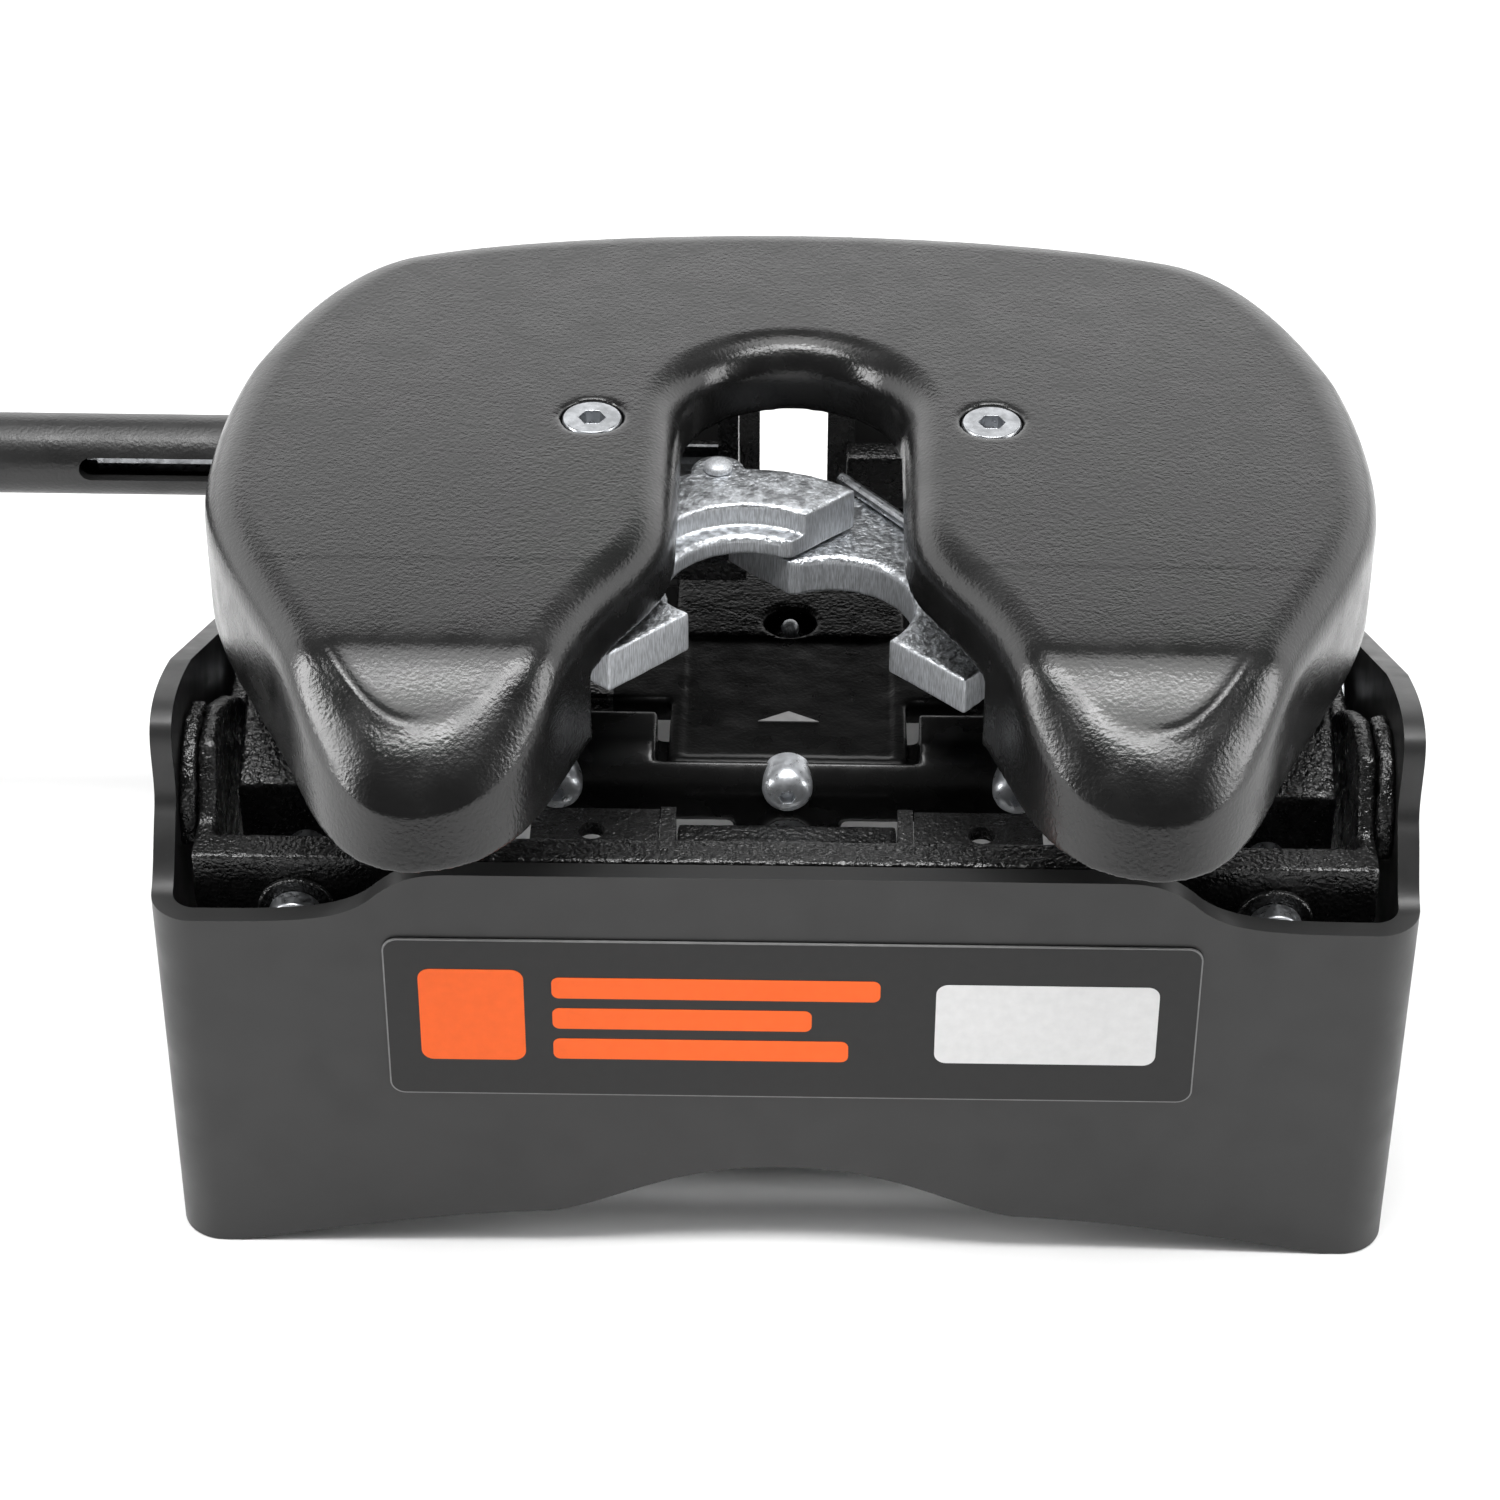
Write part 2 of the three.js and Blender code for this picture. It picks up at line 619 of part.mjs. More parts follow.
// jaw pivots: countersunk bolt, spacers and nut
for (const [name, side] of sides) {
  const x = side * jawPivotX;
  const hex = cylinderZ(x, 0, 3.3, deckTop - 4.5, deckTop + 1, 6);
  const bolt = turnedZ(x, 0, [
    [0, 156], [boltR, 156], [boltR, deckTop - 6.4], [boltR + 0.8, deckTop - 5.6],
    [boltR + 0.8, deckTop - 0.9], [boltR + 0.3, deckTop - 0.5], [0, deckTop - 0.5],
  ]).subtract(hex);
  add(`jaw_pivot_bolt_${name}`, bolt, 'zinc');
  const nut = cylinderZ(x, 0, 11.3, 158, carrierBottom - gap, 6)
    .subtract(cylinderZ(x, 0, boltR + gap, 150, carrierBottom + 1));
  add(`jaw_pivot_nut_${name}`, nut, 'zinc');
}
const spacerR = 13;
function spacer(side, z0, z1) {
  return ringZ(side * jawPivotX, 0, boltR + gap, spacerR, z0 + gap, z1 - gap);
}
add('left_lower_spacer', spacer(-1, carrierTop, upperJaw.bottom), 'zinc');
add('left_upper_spacer', spacer(-1, upperJaw.top, deckUnder), 'zinc');
add('right_lower_spacer', spacer(1, carrierTop, lowerJaw.bottom), 'zinc');
add('right_upper_spacer', spacer(1, lowerJaw.top, deckUnder), 'zinc');

// rails on both ends of the lock yoke, the guide rod inside the handle, and its bracket
add('lock_rail_left', box(-111, -103.5, 8, 56, 175, deckUnder - gap), 'casting');
add('lock_rail_right', box(92, 99.5, 14, 66, 175, deckUnder - gap), 'casting');
const rodR = 6;
const rodTip = -249;
const guideRod = cylinderX(handleY, handleZ, rodR, rodTip + 4, -19, 16)
  .add(cylinderX(handleY, handleZ, rodR - 1.8, rodTip, -19, 16));
add('guide_rod', guideRod, 'zinc');
const bracketRear = handleY - 9;     // clears the outer edge of the locked left jaw
const bracket = box(-26, -19, bracketRear, handleY + 12, handleZ - 12, deckUnder - gap)
  .subtract(cylinderX(handleY, handleZ, rodR + gap, -30, -10));
add('rod_bracket', bracket, 'casting');

// ---- jaws, drawn locked round the kingpin and then turned open about their pivots ----
function jawBlank(jaw) {
  const tailAngle = -Math.acos(jaw.tailReach / boreR);
  const outerAngle = -Math.acos(jaw.tailReach / jaw.tailR);
  const shape = new THREE.Shape();
  shape.moveTo(-6.6, kingpinY + 55.9);
  shape.lineTo(-6.9, kingpinY + 25.6);
  shape.absarc(0, kingpinY, boreR, 105 * deg, tailAngle + 2 * Math.PI, false);
  shape.absarc(0, kingpinY, jaw.tailR, outerAngle + 2 * Math.PI, 205 * deg, true);
  shape.absarc(0, kingpinY, jawOuterR, 165 * deg, 97 * deg, true);
  const blank = prismZ(shape, jaw.bottom, jaw.top, 24)
    .add(cylinderZ(-jawPivotX, 0, 24, jaw.bottom, jaw.top, 32))
    .add(cylinderZ(...pinPlace(), 9, jaw.bottom, jaw.top, 20));
  return blank
    .subtract(cylinderZ(-jawPivotX, 0, boltR + gap, jaw.bottom - 1, jaw.top + 1))
    .subtract(cylinderZ(...pinPlace(), pinR + gap, jaw.bottom - 1, jaw.top + 1, 16));
}

// link pin centre on the left jaw when locked
function pinPlace() {
  const angle = (pinOpenAngle + jawOpen) * deg;
  return [-jawPivotX + pinReach * Math.cos(angle), pinReach * Math.sin(angle)];
}

// a body drawn on the locked left side, put on the given side and turned to the open rest pose
function turnOpen(body, side) {
  const geometry = geometryOf(body);
  geometry.translate(jawPivotX, 0, 0);
  geometry.rotateZ(-jawOpen * deg);
  geometry.translate(-jawPivotX, 0, 0);
  if (side > 0) {
    geometry.scale(-1, 1, 1);
    const index = geometry.index.array;
    for (let i = 0; i < index.length; i += 3) {
      [index[i], index[i + 1]] = [index[i + 1], index[i]];
    }
  }
  return geometry;
}

function addJawPiece(name, body, side, finish) {
  const mesh = new THREE.Mesh(turnOpen(body, side), new THREE.MeshStandardMaterial(finishes[finish]));
  mesh.name = name;
  hitch.add(mesh);
}

const leftBlank = jawBlank(upperJaw)
  .subtract(cylinderZ(0, kingpinY, stepR, upperJaw.top - 8, upperJaw.top + 1, 48));
addJawPiece('left_jaw', leftBlank, -1, 'zinc');
addJawPiece('right_jaw', jawBlank(lowerJaw), 1, 'zinc');
const leftPin = cylinderZ(...pinPlace(), pinR, lockBottom, upperJaw.top + gap, 16)
  .add(cylinderZ(...pinPlace(), pinR + 1.5, upperJaw.top + gap, deckUnder - 0.5, 16));
addJawPiece('left_link_pin', leftPin, -1, 'zinc');
addJawPiece('right_link_pin', cylinderZ(...pinPlace(), pinR, lockBottom, lowerJaw.top, 16), 1, 'zinc');
const springIn = spacerR + gap;
addJawPiece('left_jaw_spring', ringZ(-jawPivotX, 0, springIn, 17.5, lowerJaw.bottom, 200), -1, 'zinc');
addJawPiece('right_jaw_spring', ringZ(-jawPivotX, 0, springIn, 17.5, 201, deckUnder - 1), 1, 'zinc');

// round wire lying on the right jaw from near its tip back under the deck
const wire = { r: 2.3, length: 46, tipX: 17, tipY: 29.5, turn: 39.2 };
function jawWire() {
  const reach = wire.length / 2;
  const rod = new THREE.CylinderGeometry(wire.r, wire.r, wire.length, 12);
  rod.rotateZ(wire.turn * deg);
  rod.translate(wire.tipX + reach * Math.sin(wire.turn * deg),
    wire.tipY - reach * Math.cos(wire.turn * deg), lowerJaw.top + wire.r + gap);
  return solid(rod);
}
add('jaw_wire', jawWire(), 'zinc');

// ---- lock yoke: slides along Y and carries both link pins in cam slots ----
// closed outline at distance r around a list of points
function slotShape(path, r) {
  const left = [];
  const right = [];
  for (let i = 0; i < path.length; i += 1) {
    const a = path[Math.max(i - 1, 0)];
    const b = path[Math.min(i + 1, path.length - 1)];
    const angle = Math.atan2(b[1] - a[1], b[0] - a[0]);
    left.push([path[i][0] - r * Math.sin(angle), path[i][1] + r * Math.cos(angle)]);
    right.push([path[i][0] + r * Math.sin(angle), path[i][1] - r * Math.cos(angle)]);
  }
  return polygon([...right, ...left.reverse()]);
}

function slotCutter(path, r, z0, z1) {
  const first = path[0];
  const last = path[path.length - 1];
  return prismZ(slotShape(path, r), z0, z1)
    .add(cylinderZ(first[0], first[1], r, z0, z1, 16))
    .add(cylinderZ(last[0], last[1], r, z0, z1, 16));
}

// where a link pin runs in the lock yoke, from open to locked
function pinPath(side, steps = 8) {
  const path = [];
  for (let i = 0; i <= steps; i += 1) {
    const angle = (pinOpenAngle + jawOpen * i / steps) * deg;
    const x = -jawPivotX + pinReach * Math.cos(angle);
    const y = pinReach * Math.sin(angle) - lockTravel * i / steps;
    path.push([-side * x, y]);
  }
  return path;
}

function lockYoke() {
  let body = box(-103, 91.5, 14, 31, lockBottom, lockTop);
  for (const [, side] of sides) {
    const [x0, x1] = span(side, 15, 57);
    body = body.add(box(x0, x1, 4.5, 29, lockBottom, lockTop));
  }
  for (const [, side] of sides) {
    body = body.subtract(slotCutter(pinPath(side), pinR + 0.6, lockBottom - 1, lockTop + 1))
      .subtract(cylinderZ(side * jawPivotX, 0, spacerR + 1.5, lockBottom - 1, lockTop + 1));
  }
  return body.subtract(cylinderZ(followerX, followerY, pinR + gap, lockBottom - 1, lockTop + 1, 16));
}
add('lock_yoke', lockYoke(), 'casting');
add('follower_pin', cylinderZ(followerX, followerY, pinR, camBottom, lockTop, 16), 'zinc');

// ---- handle ----
function handleTube() {
  const bore = cylinderX(handleY, handleZ, tubeBore, tubeOuter + 20, tubeInner + 1, 32);
  const slotMid = handleZ + 2;
  const slot = box(-246, -120, handleY - 20, handleY - 4, slotMid - 4.2, slotMid + 4.2)
    .add(cylinderY(-246, slotMid, 4.2, handleY - 20, handleY - 4, 16));
  return cylinderX(handleY, handleZ, tubeR, tubeOuter, tubeInner, 32).subtract(bore).subtract(slot);
}
add('handle_tube', handleTube(), 'powder');

// plate welded under the tube; its slanted slot drives the lock yoke
function camPlate() {
  const path = [[followerX, followerY], [followerX - handleTravel, followerY + lockTravel]];
  return box(-146, -80, 12.5, 84, camBottom, camTop)
    .subtract(slotCutter(path, pinR + 0.5, camBottom - 1, camTop + 1));
}
add('cam_plate', camPlate(), 'casting');

const gripInner = tubeOuter + 112;
const grip = cylinderX(handleY, handleZ, 18, tubeOuter - 4, gripInner, 32)
  .subtract(cylinderX(handleY, handleZ, tubeR + gap, tubeOuter - gap, gripInner + 1, 32));
add('handle_grip', grip, 'rubber');

// ---- row frame: the middle of the base of the whole part ----
deckMesh.geometry.computeBoundingBox();
const frameX = (tubeOuter - 4 + baseHalf) / 2;
const frameY = (deckMesh.geometry.boundingBox.min.y + frontFace) / 2;
const part = new THREE.Group();
hitch.position.set(-frameX, -frameY, 0);
part.add(hitch);
part.updateMatrixWorld(true);

export default part;
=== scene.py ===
"""Looks of a pickup-bed fifth wheel hitch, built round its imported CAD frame.

Lengths in the piece functions are millimetres in the design frame: X = 0 on the centreline, Y = 0 on
the line through the jaw pivots, Z = 0 on the floor. at() and place() turn them into the row frame.
"""
import math

import bmesh
import bpy
from mathutils import Matrix, Vector
from mathutils.kdtree import KDTree


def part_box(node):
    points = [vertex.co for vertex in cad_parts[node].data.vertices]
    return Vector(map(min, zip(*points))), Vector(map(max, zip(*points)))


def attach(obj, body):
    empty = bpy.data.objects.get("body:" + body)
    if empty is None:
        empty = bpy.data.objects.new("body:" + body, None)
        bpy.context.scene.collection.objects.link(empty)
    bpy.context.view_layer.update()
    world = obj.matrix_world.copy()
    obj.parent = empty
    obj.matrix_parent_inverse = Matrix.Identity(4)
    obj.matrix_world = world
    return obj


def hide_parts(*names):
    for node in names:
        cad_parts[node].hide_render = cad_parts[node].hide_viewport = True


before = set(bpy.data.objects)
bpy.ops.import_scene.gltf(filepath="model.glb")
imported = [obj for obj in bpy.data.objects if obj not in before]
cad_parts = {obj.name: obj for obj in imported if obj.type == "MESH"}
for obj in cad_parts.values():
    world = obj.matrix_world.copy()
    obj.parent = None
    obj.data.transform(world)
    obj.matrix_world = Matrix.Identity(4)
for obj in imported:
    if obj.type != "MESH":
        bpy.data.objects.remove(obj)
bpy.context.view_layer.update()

MM = 0.001
SIDES = (("left", -1), ("right", 1))

# driving dimensions shared with the CAD, in mm
BASE_HALF = 204
REAR_FACE = -136
FRONT_FACE = 176
SEAM_Y = 46
PLATE = 7
BEND_R = 15
WALL_Z = 158.5
ARM_TOP = 195
WINDOW_HALF = 20
WINDOW_Z = 100
DECK_TOP = 245
DECK_UNDER = 220
SKIRT_Z = 195
DECK_BACK = 131.9
DECK_TIP = -182
RAMP_START = -131
RAMP_SLOPE = 0.317
RAMP_SOFT = 5
SLOT_HALF = 37
KINGPIN_Y = 8
JAW_X = 66
BORE_R = 26.5
JAW_OUTER_R = 56.5
JAW_OPEN = 46
STEP_R = 34
STEP_DEPTH = 8
LEFT_JAW_Z = (201, 216)
RIGHT_JAW_Z = (186.5, 200)
PIN_REACH = 43.4
PIN_OPEN_ANGLE = 18.1
BOLT_R = 9.2
HANDLE_Y = 72
HANDLE_Z = 182
TUBE_R = 14.25
BEAM_REAR = -64
BEAM_TOP = 150
PIVOT_Y = 20
GREASE_Y = 25.5
TRAY_STEP = 16

# shapes that only this model has, in mm
WALL_DIP = 138.5
DECK_ROUND = 13
WALL_RISE = DECK_TOP - DECK_ROUND - SKIRT_Z
HORN_LEAN = 9
HORN_BACK = 4.5
HORN_BACK_Z = SKIRT_Z + 31
HORN_REACH = 45
RIDGE = 1.1
RIDGE_INSET = 12.5
RIDGE_WIDTH = 2.6
RIDGE_X = (106, 122)
NOSE_Y = -17.8
BEAM_ROUND = 16
BEAM_BOLT_X = 76.5
BEAM_BOLT_Z = 141.2
TRAY_HALF = 36
TRAY_FLOOR = 144.8
TRAY_SHADE_TOP = 148

deck_lo, deck_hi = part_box("deck_casting")
ORIGIN = Vector(((deck_lo.x + deck_hi.x) / 2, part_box("front_housing_plate")[1].y - FRONT_FACE * MM, 0))


# ---- mesh helpers ----
def at(x, y, z):
    return ORIGIN + Vector((x, y, z)) * MM


def make(name, verts, faces):
    """A mesh object from design-frame millimetre points."""
    mesh = bpy.data.meshes.new(name)
    mesh.from_pydata([at(*v) for v in verts], [], faces)
    obj = bpy.data.objects.new(name, mesh)
    bpy.context.scene.collection.objects.link(obj)
    tidy_normals(mesh)
    return obj


def tidy_normals(mesh):
    bm = bmesh.new()
    bm.from_mesh(mesh)
    bmesh.ops.remove_doubles(bm, verts=bm.verts, dist=1e-6)
    bmesh.ops.recalc_face_normals(bm, faces=bm.faces)
    bm.to_mesh(mesh)
    bm.free()


def arc(cx, cy, r, start, end, steps):
    """Points on an arc, angles in degrees."""
    turns = [math.radians(start + (end - start) * i / steps) for i in range(steps + 1)]
    return [(cx + r * math.cos(t), cy + r * math.sin(t)) for t in turns]


def bezier(p0, p1, p2, p3, steps=24):
    """Points on a cubic curve, without its first point."""
    points = []
    for i in range(1, steps + 1):
        t = i / steps
        w = ((1 - t) ** 3, 3 * t * (1 - t) ** 2, 3 * t * t * (1 - t), t ** 3)
        points.append(tuple(sum(w[k] * p[c] for k, p in enumerate((p0, p1, p2, p3))) for c in (0, 1)))
    return points


def path(start, *parts):
    """An outline from a start point and a mix of points (lines) and point triples (curves)."""
    points = [start]
    for part in parts:
        if isinstance(part[0], (int, float)):
            points.append(part)
        else:
            points += bezier(points[-1], *part)
    return points


AXIS_PLACE = {
    "X": lambda u, v, w: (w, u, v),
    "Y": lambda u, v, w: (u, w, v),
    "Z": lambda u, v, w: (u, v, w),
}


def prism(name, outline, axis, low, high):
    """A closed outline run along an axis: (Y, Z) along X, (X, Z) along Y, (X, Y) along Z."""
    put = AXIS_PLACE[axis]
    n = len(outline)
    verts = [put(u, v, low) for u, v in outline] + [put(u, v, high) for u, v in outline]
    sides = [(i, (i + 1) % n, n + (i + 1) % n, n + i) for i in range(n)]
    return make(name, verts, [tuple(range(n)), tuple(range(n, 2 * n)), *sides])


def lathe(name, centre, axis, profile, steps=48):
    """A profile of (radius, distance) pairs turned about an axis through centre."""
    put = AXIS_PLACE[axis]
    verts = []
    for r, d in profile:
        for i in range(steps):
            t = 2 * math.pi * i / steps
            offset = put(r * math.cos(t), r * math.sin(t), d)
            verts.append(tuple(c + o for c, o in zip(centre, offset)))
    faces = []
    for k in range(len(profile) - 1):
        for i in range(steps):
            j = (i + 1) % steps
            faces.append((k * steps + i, k * steps + j, (k + 1) * steps + j, (k + 1) * steps + i))
    faces.append(tuple(range(steps)))
    last = (len(profile) - 1) * steps
    faces.append(tuple(last + i for i in range(steps)))
    return make(name, verts, faces)


def cuboid(name, x, y, z):
    """A box from its (low, high) ranges along X, Y and Z."""
    return prism(name, [(x[0], y[0]), (x[1], y[0]), (x[1], y[1]), (x[0], y[1])], "Z", *z)


def rod(name, centre, axis, r, low, high, steps=48):
    """A round bar, or a regular one with few steps, from low to high beyond its centre."""
    return lathe(name, centre, axis, [(r, low), (r, high)], steps)


def apply_modifier(obj, kind, **settings):
    modifier = obj.modifiers.new(kind, kind)
    for key, value in settings.items():
        setattr(modifier, key, value)
    bpy.context.view_layer.objects.active = obj
    bpy.ops.object.modifier_apply(modifier=modifier.name)


def combine(obj, tool, operation):
    """Boolean of obj with tool, which is used up."""
    apply_modifier(obj, "BOOLEAN", object=tool, operation=operation, solver="EXACT")
    bpy.data.objects.remove(tool)
    return obj


def cut(obj, tool):
    return combine(obj, tool, "DIFFERENCE")


def join(obj, tool):
    return combine(obj, tool, "UNION")


def common(obj, tool):
    return combine(obj, tool, "INTERSECT")


def soften(obj, voxel, passes):
    """Even fine mesh with rounded edges, as a casting or a coated plate has."""
    apply_modifier(obj, "REMESH", mode="VOXEL", voxel_size=voxel * MM)
    apply_modifier(obj, "SMOOTH", factor=0.5, iterations=passes)
    shade(obj)


def shade(obj):
    for polygon in obj.data.polygons:
        polygon.use_smooth = True


def roughen(obj, size, depth):
    """Real unevenness of a cast surface, size and depth in mm."""
    texture = bpy.data.textures.new(obj.name + "_lumps", "CLOUDS")
    texture.noise_scale = size * MM
    texture.noise_depth = 2
    apply_modifier(obj, "DISPLACE", texture=texture, strength=depth * MM, mid_level=0.5,
                   texture_coords="GLOBAL")
    return obj


def edge(obj, width=0.6, segments=2):
    """Small machined edge on a piece with flat faces."""
    modifier = obj.modifiers.new("edge", "BEVEL")
    modifier.width = width * MM
    modifier.segments = segments
    modifier.limit_method = "ANGLE"
    modifier.angle_limit = math.radians(32)
    modifier.harden_normals = True
    shade(obj)
    return obj


def copy_of(node, name):
    """A new piece that starts from a CAD node's own solid."""
    obj = bpy.data.objects.new(name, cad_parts[node].data.copy())
    bpy.context.scene.collection.objects.link(obj)
    obj.data.materials.clear()
    tidy_normals(obj.data)
    return obj


def finish_piece(obj, material, body, slot, *nodes):
    """Gives a piece its material and its body and hides the CAD nodes it stands for; its slot is not
    used.
    """
    obj.data.materials.append(material)
    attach(obj, body)
    if nodes:
        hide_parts(*nodes)


# ---- materials ----
class Shader:
    """A principled material and short calls for the nodes that feed it."""

    def __init__(self, name, roughness, metallic=0.0):
        self.material = bpy.data.materials.new(name)
        self.material.use_nodes = True
        self.nodes = self.material.node_tree.nodes
        self.links = self.material.node_tree.links
        self.surface = self.nodes["Principled BSDF"]
        self.surface.inputs["Roughness"].default_value = roughness
        self.surface.inputs["Metallic"].default_value = metallic
        self.place = self.nodes.new("ShaderNodeTexCoord").outputs["Object"]
        self.height = None

    def noise(self, size, detail=3.0, stretch=None):
        """Noise with features about size mm across."""
        node = self.nodes.new("ShaderNodeTexNoise")
        node.inputs["Scale"].default_value = 1000 / size
        node.inputs["Detail"].default_value = detail
        source = self.place
        if stretch:
            mapping = self.nodes.new("ShaderNodeMapping")
            mapping.inputs["Scale"].default_value = stretch
            self.links.new(self.place, mapping.inputs["Vector"])
            source = mapping.outputs["Vector"]
        self.links.new(source, node.inputs["Vector"])
        return node.outputs["Fac"]

    def ramp(self, source, *stops):
        """Colours or greys between (position, value) stops."""
        node = self.nodes.new("ShaderNodeValToRGB")
        elements = node.color_ramp.elements
        while len(elements) < len(stops):
            elements.new(0.5)
        for element, (position, value) in zip(elements, stops):
            colour = value if isinstance(value, tuple) else (value,) * 3
            element.position = position
            element.color = (*colour, 1)
        self.links.new(source, node.inputs["Fac"])
        return node.outputs["Color"]

    def mix(self, factor, a, b):
        node = self.nodes.new("ShaderNodeMix")
        node.data_type = "RGBA"
        self.links.new(factor, node.inputs["Factor"])
        self.links.new(a, node.inputs["A"])
        self.links.new(b, node.inputs["B"])
        return node.outputs["Result"]

    def bump(self, source, depth):
        """Adds a bump of depth mm on top of the ones before."""
        node = self.nodes.new("ShaderNodeBump")
        node.inputs["Distance"].default_value = depth * MM
        self.links.new(source, node.inputs["Height"])
        if self.height:
            self.links.new(self.height, node.inputs["Normal"])
        self.height = node.outputs["Normal"]
        self.links.new(self.height, self.surface.inputs["Normal"])

    def worn_and_lit_edges(self, colour, worn_lit_grey):
        """Lighter where the surface is sharply convex: edge wear together with a painted highlight along
        the edges.
        """
        pointiness = self.nodes.new("ShaderNodeNewGeometry").outputs["Pointiness"]
        wear_and_highlight = self.ramp(pointiness, (0.54, 0.0), (0.62, 1.0))
        worn_lit_tone = self.ramp(self.noise(8), (0.0, worn_lit_grey), (1.0, worn_lit_grey))
        return self.mix(wear_and_highlight, colour, worn_lit_tone)

    def set(self, socket, source):
        self.links.new(source, self.surface.inputs[socket])


def powder_coat(name, dark, light, roughness, peel, shine=0.5):
    """Satin powder coat: slow shade changes, fine orange peel and a few dust specks."""
    s = Shader(name, roughness)
    s.surface.inputs["Specular IOR Level"].default_value = shine
    tone = s.ramp(s.noise(60, 2), (0.3, (dark,) * 3), (0.7, (light,) * 3))
    speck = s.ramp(s.noise(1.1, 1), (0.72, 0.0), (0.78, 0.35))
    dust = s.ramp(s.noise(0.9, 1), (0.0, (light * 1.7,) * 3), (1.0, (light * 2.1,) * 3))
    s.set("Base Color", s.mix(speck, tone, dust))
    s.set("Roughness", s.ramp(s.noise(14, 3), (0.3, roughness - 0.05), (0.7, roughness + 0.08)))
    s.bump(s.noise(1.3, 2), peel)
    return s.material


def wrinkle_coat(name, dark, light, depth, shine):
    """Black wrinkle coat over a rough casting, with sharp edges lightened as edge wear and a painted
    highlight.
    """
    s = Shader(name, 0.5)
    s.surface.inputs["Specular IOR Level"].default_value = shine
    tone = s.ramp(s.noise(9, 4), (0.3, (dark,) * 3), (0.75, (light,) * 3))
    # sharp edges paler: edge wear plus a painted highlight
    s.set("Base Color", s.worn_and_lit_edges(tone, (light * 3,) * 3))
    s.set("Roughness", s.ramp(s.noise(5, 3), (0.3, 0.20), (0.7, 0.36)))
    s.bump(s.noise(5, 3), depth * 0.3)
    s.bump(s.noise(1.5, 2), depth)
    return s.material


def zinc(name, roughness, grain, depth, tones=(0.50, 0.76), stretch=None, metallic=1.0):
    """Bright zinc plate over cast or machined steel."""
    s = Shader(name, roughness, metallic)
    dull, clean = (tuple(tone * c for c in (0.96, 0.99, 1.03)) for tone in tones)
    s.set("Base Color", s.ramp(s.noise(grain * 2.2, 4, stretch), (0.36, dull), (0.64, clean)))
    uneven = s.noise(grain, 3, stretch)
    s.set("Roughness", s.ramp(uneven, (0.3, roughness - 0.1), (0.75, roughness + 0.14)))
    s.bump(uneven, depth)
    return s.material


def matte(name, dark, light, roughness, grain, depth, shine=0.5):
    """Plain plastic, rubber, film or floor with a fine grain of size grain mm."""
    s = Shader(name, roughness)
    s.surface.inputs["Specular IOR Level"].default_value = shine
    s.set("Base Color", s.ramp(s.noise(grain * 6, 3), (0.3, dark), (0.7, light)))
    s.bump(s.noise(grain, 2), depth)
    return s.material


def shade_of(colour, amount):
    return tuple(c * amount for c in colour)


HOUSING = powder_coat("housing_coat", 0.013, 0.016, 0.42, 0.02, 0.46)
DECK = powder_coat("deck_coat", 0.005, 0.007, 0.23, 0.13)
CASTING = wrinkle_coat("wrinkle_coat", 0.003, 0.006, 0.8, 0.75)
# tray coats: darker base and weak shine, painted shade where the deck and jaws overhang the tray
TRAY_FRONT_SHADED = powder_coat("tray_front_shaded_coat", 0.003, 0.004, 0.30, 0.12, 0.2)
TRAY_REAR_SHADED = wrinkle_coat("tray_rear_shaded_coat", 0.002, 0.003, 0.4, 0.08)
GLOSS = powder_coat("gloss_black", 0.004, 0.006, 0.26, 0.04)
HANDLE = powder_coat("handle_coat", 0.010, 0.016, 0.36, 0.16)
JAW = zinc("jaw_zinc", 0.38, 1.3, 0.45, (0.34, 0.95))
# machined zinc: metallic 0.6 adds a diffuse part, painted light that brightens the jaws' side faces
MACHINED_LIT = zinc("machined_lit_zinc", 0.46, 0.9, 0.05, (0.40, 0.72), (6, 6, 0.5), 0.6)
BRIGHT = zinc("bright_zinc", 0.34, 1.8, 0.02, (0.34, 0.54))
DOME = zinc("dome_zinc", 0.34, 2.5, 0.12, (0.62, 0.88), None, 0.8)
POLYMER = matte("polymer", (0.02,) * 3, (0.03,) * 3, 0.7, 0.8, 0.03)
RUBBER = matte("rubber", (0.012,) * 3, (0.02,) * 3, 0.82, 0.6, 0.05)
FILM = matte("label_film", (0.010,) * 3, (0.012,) * 3, 0.40, 0.7, 0.01, 0.3)
RIM = matte("label_rim", (0.16,) * 3, (0.20,) * 3, 0.4, 0.7, 0.01)
ARROW = matte("arrow_film", (0.20,) * 3, (0.25,) * 3, 0.45, 0.7, 0.01)
ORANGE_COLOUR = (0.98, 0.14, 0.018)
ORANGE = matte("orange_film", shade_of(ORANGE_COLOUR, 0.94), ORANGE_COLOUR, 0.4, 0.7, 0.008, 0.2)
WHITE = matte("white_film", (0.70,) * 3, (0.76,) * 3, 0.4, 0.7, 0.008)


# ---- head ----
def deck_outline():
    """The horseshoe seen from above: its right half, the throat's round end, its left half."""
    half = [
        ((55, 131.5), (105, 124.5), (135, 113.5)),
        ((159, 104), (174, 70), (184, 38)),
        ((190, 14), (193, -24), (189, -46)),
        ((184, -74), (166, -104), (155, -131)),
        ((147, -150), (138, DECK_TIP), (113, DECK_TIP)),
        ((91, DECK_TIP), (78, -164), (71, -142)),
        ((65, -124), (60, -106), (50, -90)),
        ((42, -77), (SLOT_HALF, -68), (SLOT_HALF, -50)),
    ]
    right = path((0, DECK_BACK), *half)
    slot = arc(0, KINGPIN_Y, SLOT_HALF, 0, 180, 64)
    left = [(-x, y) for x, y in reversed(right[1:])]
    return right + slot + left


def inset(outline, amount):
    """The outline moved inwards by amount, along each point's own normal."""
    n = len(outline)
    moved = []
    for i, (x, y) in enumerate(outline):
        ax, ay = outline[i - 1]
        bx, by = outline[(i + 1) % n]
        length = math.hypot(bx - ax, by - ay) or 1
        moved.append((x + (by - ay) / length * amount, y - (bx - ax) / length * amount))
    return moved


